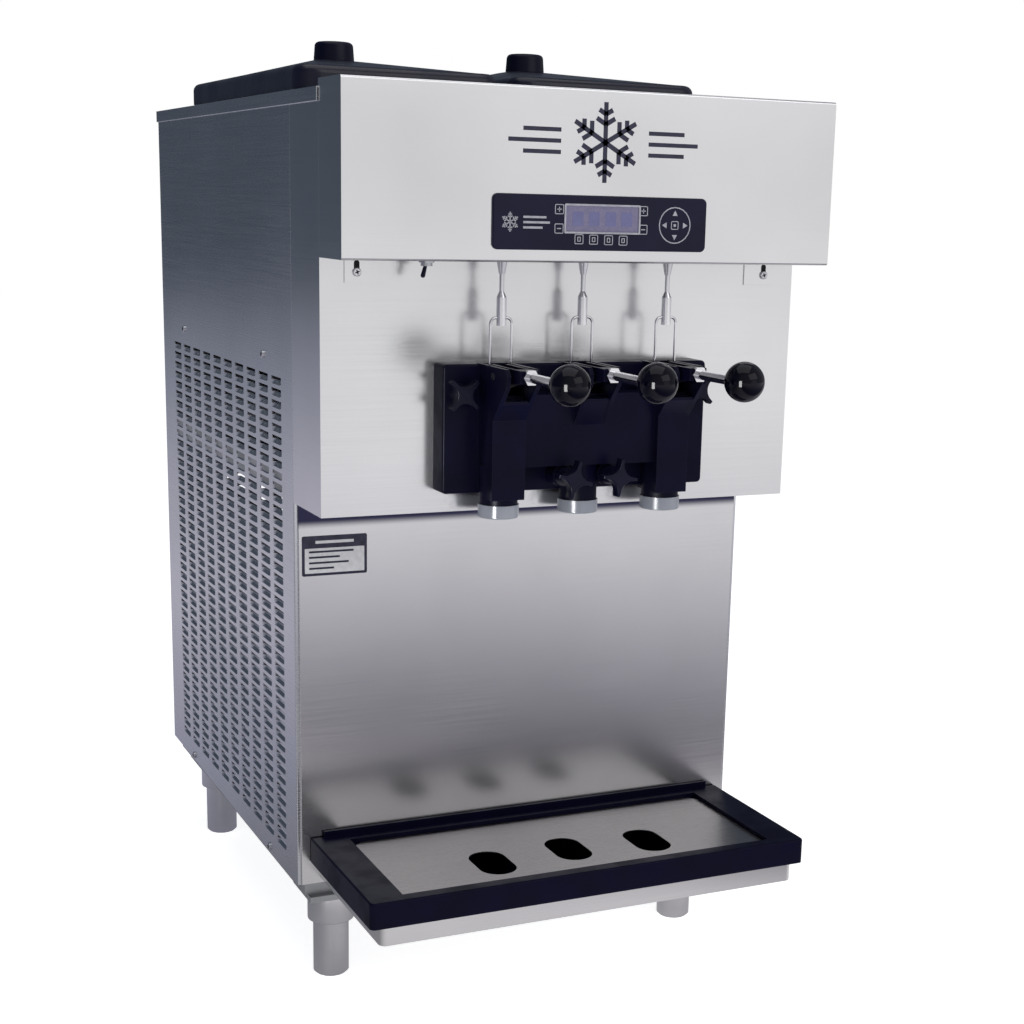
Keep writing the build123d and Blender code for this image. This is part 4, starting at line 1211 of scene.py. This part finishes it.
@dataclass
class Cabinet:
    """Sheet metal of the cabinet, its screws, its legs' collars and the cord gland."""

    collar_radius: float = 0.0273
    collar_bore: float = 0.0212
    collar_edge: float = 0.0016
    collar_z: Ends = (0.0686, 0.1034)
    side_x: float = 0.28
    front_y: float = -0.2515
    rear_y: float = 0.47
    screw_top: float = 0.00248
    side_screws: tuple[Ends, Ends] = ((-0.036, 0.346), (0.133, 0.722))
    tab_screws: tuple[Ends, float] = ((-0.241, 0.241), 0.823)
    rear_screws: tuple[Ends, Point] = ((-0.264, 0.264), (0.180, 0.560, 0.940))
    keyhole_z: float = 0.8290

    def _collars(self, shop: Workshop) -> None:
        """Polished collars on the leg sockets: a plain drum with both rims eased.

        Args:
            shop: Where pieces are made.
        """
        turn = np.linspace(0, QUARTER, 5)
        drop, inset = self.collar_edge * (1 - np.sin(turn)), self.collar_edge * (1 - np.cos(turn))
        rise = np.concatenate([self.collar_z[0] + drop[::-1], self.collar_z[1] - drop])
        rim = self.collar_radius - np.concatenate([inset[::-1], inset])
        radius = np.concatenate([[self.collar_bore], rim, [self.collar_bore]])
        height = np.concatenate([[rise[0]], rise, [rise[-1]]])
        drum = stack(radius, radius, radius, height, 16, hollow=True)
        for leg in LEGS:
            low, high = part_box(leg)
            place = ((low.x + high.x) / 2, (low.y + high.y) / 2, 0)
            shop.add(f"{leg}_collar", drum.moved(place), "polished_tube", "cabinet", "polished")

    def _recesses(self, shop: Workshop) -> None:
        """Painted shadows of the cross recesses in the heads of the screws: flat dark crosses, each turned its own
        way.

        Args:
            shop: Where pieces are made.
        """
        mark = cross(0.0024, 0.0006, 0, 0.0003)
        top = self.screw_top
        marks = []
        for facing, outer in ((Facing.LEFT, -self.side_x - top), (Facing.RIGHT, self.side_x + top)):
            for y in self.side_screws[0]:
                marks += [mark.spun(27 + 900 * y).placed(facing, (outer, y, z)) for z in self.side_screws[1]]
        for x in self.tab_screws[0]:
            marks.append(mark.spun(20).placed(Facing.FRONT, (x, self.front_y - top, self.tab_screws[1])))
        for x in self.rear_screws[0]:
            marks += [mark.spun(70 * z).placed(Facing.BACK, (x, self.rear_y + top, z)) for z in self.rear_screws[1]]
        # painted shadow: flat dark crosses stand for the shade inside the recesses
        shop.add("screw_recess_shadows", joined(marks), "slot_shadow", "cabinet", "screw_steel")

    def _keyholes(self, shop: Workshop) -> None:
        """Painted shadows of the keyhole openings of the header's tabs, above their screws: flat dark slots on the
        sheet.

        Args:
            shop: Where pieces are made.
        """
        slot = plate(0.0030, 0.0060, 0.0029, -0.0002, 0.0003, 0.0001)
        marks = [slot.placed(Facing.FRONT, (x, self.front_y, self.keyhole_z)) for x in self.tab_screws[0]]
        # painted shadow: flat dark slots stand for the shade inside the keyholes
        shop.add("tab_keyhole_shadows", joined(marks), "slot_shadow", "cabinet", "screw_steel")

    def build(self, shop: Workshop) -> None:
        """Dress and ease the sheets and add the small parts.

        Args:
            shop: Where pieces are made.
        """
        for node in ("header_cover", "head_panel"):
            shop.ease(node, "front_sheet", 0.0006)
        # the lower front panel carries the painted shadow band under the head
        shop.ease("front_lower_panel", "shadow_band_sheet", 0.0006)
        # the deck and rear panel take the darker copy of the steel, a painted shade
        shop.ease("top_deck", "side_sheet", 0.0005)
        shop.dress("side_sheet", "rear_panel")
        shop.dress("zinc_screw", "cabinet_screws")
        shop.dress("frame_zinc", "base_frame")
        shop.dress("knob_moulding", "power_inlet")
        shop.dress("polished_tube", *LEGS)
        self._collars(shop)
        self._recesses(shop)
        self._keyholes(shop)


# ---- marks ---------------------------------------------------------------------------------
def snowflake(reach: float, line: float, low: float, high: float) -> Shape:
    """Plain six-armed snow crystal.

    Each arm is a bar from the middle, with two pairs of side bars at sixty degrees to it.

    Args:
        reach: Length of an arm.
        line: Half the width of a bar.
        low: Height of the underside.
        high: Height of the top.

    Returns:
        The crystal.
    """
    slant = math.radians(60)
    ends = [(0, 0, 0, reach)]
    for share, twig in ((0.45, 0.30), (0.70, 0.22)):
        tip = (share + twig * math.cos(slant)) * reach
        ends += [(0, share * reach, sign * twig * reach * math.sin(slant), tip) for sign in (-1, 1)]
    arm = bars(ends, line, low, high)
    return joined([arm.spun(60 * k) for k in range(6)])


@dataclass
class Emblem:
    """Plain ornament printed on the header: a snow crystal between two groups of level lines."""

    centre: Ends = (0.002, 0.958)
    reach: float = 0.040
    line: float = 0.0024
    wing: float = 0.058
    wing_line: float = 0.0021
    gap: float = 0.010
    levels: tuple[Ends, ...] = ((0.011, 0.72), (0.0, 1.0), (-0.011, 0.72))
    heights: Ends = (-0.0001, 0.00025)

    def build(self, shop: Workshop) -> None:
        """Print the ornament.

        Args:
            shop: Where pieces are made.
        """
        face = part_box("header_cover")[0].y
        lines = []
        for sign in (-1, 1):
            start = sign * (self.reach + self.gap)
            lines += [(start, level, start + sign * self.wing * share, level) for level, share in self.levels]
        flake = snowflake(self.reach, self.line, *self.heights)
        shape = joined([flake, bars(lines, self.wing_line, *self.heights)])
        place = (self.centre[0], face, self.centre[1])
        shop.add("header_ornament", shape.placed(Facing.FRONT, place), "navy_print", "cabinet", "stainless")


@dataclass
class DataLabel:
    """Blank rating label on the lower panel: dark border and band, pale field and plain lines."""

    x: Ends = (-0.272, -0.197)
    z: Ends = (0.488, 0.533)
    lines: tuple[float, ...] = (0.9, 0.62, 0.8, 0.5)
    margin: float = 0.008
    first_line: float = 0.0045
    line_pitch: float = 0.0062
    band: Ends = (0.022, 0.0072)

    def build(self, shop: Workshop) -> None:
        """Stick the label on.

        Args:
            shop: Where pieces are made.
        """
        half_u, half_v = (self.x[1] - self.x[0]) / 2, (self.z[1] - self.z[0]) / 2
        place = (sum(self.x) / 2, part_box("front_lower_panel")[0].y, sum(self.z) / 2)
        base = plate(half_u, half_v, 0.002, -0.0001, 0.0003, 0.0001).placed(Facing.FRONT, place)
        shop.add("label_base", base, "navy_print", "cabinet", "stainless")
        field_low = plate(half_u - 0.0032, half_v - 0.0085, 0.0006, 0.0002, 0.00042, 0.00005).moved((0, -0.0055, 0))
        shop.add("label_field", field_low.placed(Facing.FRONT, place), "label_white", "cabinet", "stainless")
        lines = []
        start = -half_u + self.margin
        for row, share in enumerate(self.lines):
            level = self.first_line - row * self.line_pitch
            lines.append((start, level, start + share * (2 * half_u - 0.018), level))
        text = bars(lines, 0.0011, 0.0004, 0.00055)
        shop.add("label_lines", text.placed(Facing.FRONT, place), "navy_print", "cabinet", "stainless")
        reach, level = self.band[0], half_v - self.band[1]
        band = bars([(-reach, level, reach, level)], 0.0016, 0.0002, 0.00045)
        shop.add("label_band", band.placed(Facing.FRONT, place), "label_white", "cabinet", "stainless")


# ---- controls ------------------------------------------------------------------------------
@dataclass
class ControlPanel:
    """Keypad housing, display, printed keys, arrow ring and toggle switch."""

    screen_keys: tuple[Ends, ...] = ((-0.0495, 0.8906), (0.0470, 0.8907))
    lower_keys: tuple[Ends, ...] = ((-0.0496, 0.8713), (0.0471, 0.8718))
    row_keys: tuple[Ends, ...] = ((-0.0267, 0.8610), (-0.0100, 0.8608), (0.0072, 0.8605), (0.0241, 0.8603))
    ring: Point = (0.0845, 0.8768, 0.0189)
    mark: Ends = (-0.1040, 0.8770)
    cells: tuple[float, ...] = (-0.028, -0.0095, 0.0095, 0.028)
    sign: float = 0.0024
    line: float = 0.0008
    low: float = -0.0002
    high: float = 0.00035

    def _keys(self, face: float) -> Shape:
        """Outlined keys, each with a plain sign inside.

        Args:
            face: Depth of the panel's face.

        Returns:
            All the keys.
        """
        outline = frame_ring(0.0050, 0.0050, 0.0014, self.line, self.low, self.high)
        plus = cross(self.sign, 0.0005, self.low, self.high)
        minus = bars([(-self.sign, 0, self.sign, 0)], 0.0005, self.low, self.high)
        square = frame_ring(0.0019, self.sign, 0.0005, self.line, self.low, self.high)
        made = []
        for keys, sign in ((self.screen_keys, plus), (self.lower_keys, minus), (self.row_keys, square)):
            made += [joined([outline, sign]).placed(Facing.FRONT, (x, face, z)) for x, z in keys]
        return joined(made)

    def _arrows(self, face: float) -> Shape:
        """Round key with an arrow to each side and a square in the middle.

        Args:
            face: Depth of the panel's face.

        Returns:
            The key.
        """
        x, z, radius = self.ring
        circle = frame_ring(radius, radius, radius, 0.0011, self.low, self.high)
        middle = frame_ring(0.0044, 0.0044, 0.0016, self.line, self.low, self.high)
        dot = plate(0.0014, 0.0014, 0.0006, self.low, self.high, 0.0001)
        arrow = prism([(-0.0030, 0.0098), (0.0030, 0.0098), (0.0, 0.0152)], self.low, self.high)
        parts = [circle, middle, dot] + [arrow.spun(90 * k) for k in range(4)]
        return joined(parts).placed(Facing.FRONT, (x, face, z))

    def _mark(self, face: float) -> Shape:
        """Small snow crystal and three plain lines at the panel's left end.

        Args:
            face: Depth of the panel's face.

        Returns:
            The mark.
        """
        flake = snowflake(0.0098, 0.0006, self.low, self.high).moved((self.mark[0], 0, 0))
        ends = ((0.0052, -0.0640), (0.0, -0.0600), (-0.0052, -0.0680))
        lines = bars([(-0.0895, level, end, level) for level, end in ends], 0.0011, self.low, self.high)
        return joined([flake, lines]).placed(Facing.FRONT, (0, face, self.mark[1]))

    def build(self, shop: Workshop) -> None:
        """Dress the panel and print it.

        Args:
            shop: Where pieces are made.
        """
        shop.ease("control_bezel", "keypad_membrane", 0.0004)
        shop.dress("screen_lavender", "display_window")
        shop.dress("board_lacquer", "control_board")
        shop.dress("zinc_screw", "toggle_bushing")
        shop.dress("knob_moulding", "toggle_lever")
        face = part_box("control_bezel")[0].y
        window_low, window_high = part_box("display_window")
        middle = ((window_low.x + window_high.x) / 2, face, (window_low.z + window_high.z) / 2)
        half_u, half_v = (window_high.x - window_low.x) / 2, (window_high.z - window_low.z) / 2
        rim = frame_ring(half_u + 0.0012, half_v + 0.0012, 0.0016, 0.0019, self.low, 0.0005)
        shop.add("screen_rim", rim.placed(Facing.FRONT, middle), "pale_print", "cabinet", "display")
        shop.add("keypad_keys", self._keys(face), "pale_print", "cabinet", "black_moulded")
        shop.add("keypad_arrows", self._arrows(face), "pale_print", "cabinet", "black_moulded")
        shop.add("keypad_mark", self._mark(face), "pale_print", "cabinet", "black_moulded")
        cell = plate(0.0062, 0.0072, 0.0016, -0.0001, 0.0001, 0.00005)
        cells = [cell.moved((x, 0, 0)) for x in self.cells]
        glass = (middle[0], window_low.y, middle[2])
        shop.add("screen_cells", joined(cells).placed(Facing.FRONT, glass), "screen_marks", "cabinet", "display")


# ---- hoppers and lids ----------------------------------------------------------------------
@dataclass
class HopperLid:
    """Hopper, its moulded lid and the lid's tapered drum knob."""

    side: str
    knob_edge: float = 0.0052
    taper: float = 0.0012
    rim: float = 0.0008
    dish: float = 0.0002

    def build(self, shop: Workshop) -> None:
        """Dress the lid and turn its knob.

        Args:
            shop: Where pieces are made.
        """
        shop.dress("lid_moulding", f"{self.side}_lid")
        shop.dress("tank_sheet", f"{self.side}_hopper")
        low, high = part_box(f"{self.side}_lid_knob")
        radius = (high.x - low.x) / 2
        turn = np.linspace(0, QUARTER, 8)
        top = radius - self.taper
        shoulder, edge = top - self.knob_edge * (1 - np.cos(turn)), high.z - self.knob_edge * (1 - np.sin(turn))
        profile = np.concatenate([[radius - self.rim, radius], shoulder, [top * 0.62, top * 0.60]])
        top_rise = [high.z - self.dish, high.z - self.rim]
        rise = np.concatenate([[low.z, low.z + self.rim], edge - self.dish, top_rise])
        knob = lathe(profile, rise, 16).moved(((low.x + high.x) / 2, (low.y + high.y) / 2, 0))
        shop.stand_in(f"{self.side}_drum_knob", knob, "knob_moulding", f"{self.side}_lid_knob")


# ---- dispensing head and handles -----------------------------------------------------------
@dataclass
class StarKnob:
    """Four-pointed clamp knob: hollow flanks between narrow points, on a round hub."""

    name: str
    turn: float
    reach: float = 0.0245
    notch: float = 0.0155
    grip: float = 0.012
    edge: float = 0.0016
    radius: float = 0.0205
    hub: tuple[float, float] = (0.0108, 0.0088)
    steps: int = 144

    def _outline(self, radius: float) -> Array:
        """Distance from the middle to the rim at every angle.

        Four circles of the notch radius are cut away, centred at the reach from the middle; at
        an angle phi from a circle's centre its near side is the reach times the cosine of phi,
        less the root of the notch squared less the squared reach times sine.

        Args:
            radius: Distance from the middle to a point's tip.

        Returns:
            The distances.
        """
        angle = np.linspace(0, 2 * math.pi, self.steps, endpoint=False) - math.radians(self.turn)
        phi = np.mod(angle, math.pi / 2) - math.pi / 4
        inside = self.notch ** 2 - (self.reach * np.sin(phi)) ** 2
        near = self.reach * np.cos(phi) - np.sqrt(np.maximum(inside, 0))
        return np.where(inside > 0, np.minimum(near, radius), radius)

    def build(self, shop: Workshop) -> None:
        """Make the knob: rings up the hub, the star's back, its side and its eased front edge.

        Args:
            shop: Where pieces are made.
        """
        node = f"{self.name}_star_knob"
        low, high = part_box(node)
        depth = high.y - low.y
        outline = self._outline(self.radius)
        inset, level = quarter_edge(depth - self.grip, depth, self.edge)
        rings = [np.full(self.steps, radius) for radius in self.hub]
        rings += [outline - self.edge * 0.3] + [outline - step for step in inset] + [outline * 0.5]
        height = [0, depth - self.grip, depth - self.grip - 0.0001, *level, depth - 0.0002]
        turn = np.linspace(0, 2 * math.pi, self.steps, endpoint=False)
        rim = np.array(rings)
        level = np.broadcast_to(np.array(height)[:, None], rim.shape)
        points = np.stack([rim * np.cos(turn), rim * np.sin(turn), level], axis=-1).reshape(-1, 3)
        first_of_last = (len(rings) - 1) * self.steps
        ends = [tuple(range(self.steps))[::-1], tuple(range(first_of_last, first_of_last + self.steps))]
        faces = grid_faces(len(rings), self.steps) + ends
        place = ((low.x + high.x) / 2, high.y, (low.z + high.z) / 2)
        shop.stand_in(f"{self.name}_star", Shape(points, faces).placed(Facing.FRONT, place), "knob_moulding", node)


@dataclass
class DispensingHead:
    """Moulded head with its nozzle caps, link guides and pins; its clamp knobs are made as star knobs."""

    edge: float = 0.0014

    def build(self, shop: Workshop) -> None:
        """Ease the moulding and dress what is on it.

        Args:
            shop: Where pieces are made.
        """
        shop.ease("dispensing_head", "head_moulding", self.edge, 3)
        shop.dress("nozzle_moulding", "nozzle_caps")
        shop.dress("polished_tube", "link_guides")
        shop.dress("drawn_rod", "pivot_pins")


@dataclass
class DrawHandle:
    """One draw handle with its fork, rod and ball, and the valve and link that it lifts."""

    name: str

    def build(self, shop: Workshop) -> None:
        """Dress the handle.

        Args:
            shop: Where pieces are made.
        """
        shop.ease(f"{self.name}_handle_fork", "head_moulding", 0.0007)
        shop.dress("drawn_rod", f"{self.name}_handle_rod")
        shop.dress("ball_gloss", f"{self.name}_ball_knob")
        shop.dress("polished_tube", f"{self.name}_valve_spool", f"{self.name}_draw_link")


# ---- drip tray and machinery ---------------------------------------------------------------
@dataclass
class DripTray:
    """Shelf, moulded tray and drain cover."""

    def build(self, shop: Workshop) -> None:
        """Ease and dress the tray's three parts.

        Args:
            shop: Where pieces are made.
        """
        shop.ease("tray_shelf", "front_sheet", 0.0005)
        shop.ease("drip_tray", "tray_moulding", 0.0012, 3)
        shop.ease("tray_cover", "tray_sheet", 0.0004)


@dataclass
class Machinery:
    """What is inside the cabinet, seen through the louvres or with the panels off."""

    finishes: dict[str, str] = field(default_factory=lambda: {
        "freezing_cylinders": "tank_sheet", "left_dasher": "food_white", "right_dasher": "food_white",
        "feed_tubes": "food_white", "gearmotors": "motor_enamel", "compressor": "motor_enamel",
        "condenser": "coil_fins", "fan_motor": "motor_enamel", "fan_blade": "coil_fins"})

    def build(self, shop: Workshop) -> None:
        """Dress the machinery.

        Args:
            shop: Where pieces are made.
        """
        for node, finish in self.finishes.items():
            shop.dress(finish, node)


def corners() -> list[list[float]]:
    """The shown object's lowest and highest corners as plain lists."""
    return [list(corner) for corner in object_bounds()]


def round_pieces() -> list[str]:
    """Which objects the window light falls on.

    Returns:
        The names of the round and moulded ones.
    """
    nodes = [*LEGS, *(f"{handle}_ball_knob" for handle in HANDLES), "nozzle_caps"]
    made = [f"{leg}_collar" for leg in LEGS] + ["eased_dispensing_head"]
    made += [f"{level}_{side}_star" for level in ("upper", "lower") for side in ("left", "right")]
    return [frame["nodes"][node].name for node in nodes] + made


def main() -> None:
    """Build the studio and every sub-assembly."""
    logging.basicConfig(level=logging.INFO, format="%(message)s")
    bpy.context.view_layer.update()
    studio = Studio()
    studio.build()
    slots = {part["node"]: part["material_slot"] for part in frame["record"]["subparts"]}
    bodies = {node: body for body, nodes in frame["record"]["behaviour"]["bodies"].items() for node in nodes}
    shop = Workshop(Palette(), slots, bodies)
    builders = [Cabinet(), LouvredSide("left"), LouvredSide("right"), Emblem(), DataLabel(), ControlPanel(),
                HopperLid("left"), HopperLid("right"), DispensingHead(), StarKnob("upper_left", 45.0),
                StarKnob("upper_right", 45.0), StarKnob("lower_left", -15.0), StarKnob("lower_right", -6.0),
                *(DrawHandle(name) for name in HANDLES), DripTray(), Machinery()]
    for builder in builders:
        builder.build(shop)
        LOG.info("built %s", builder)
    studio.aim_window(round_pieces())


if __name__ == "__main__":
    main()
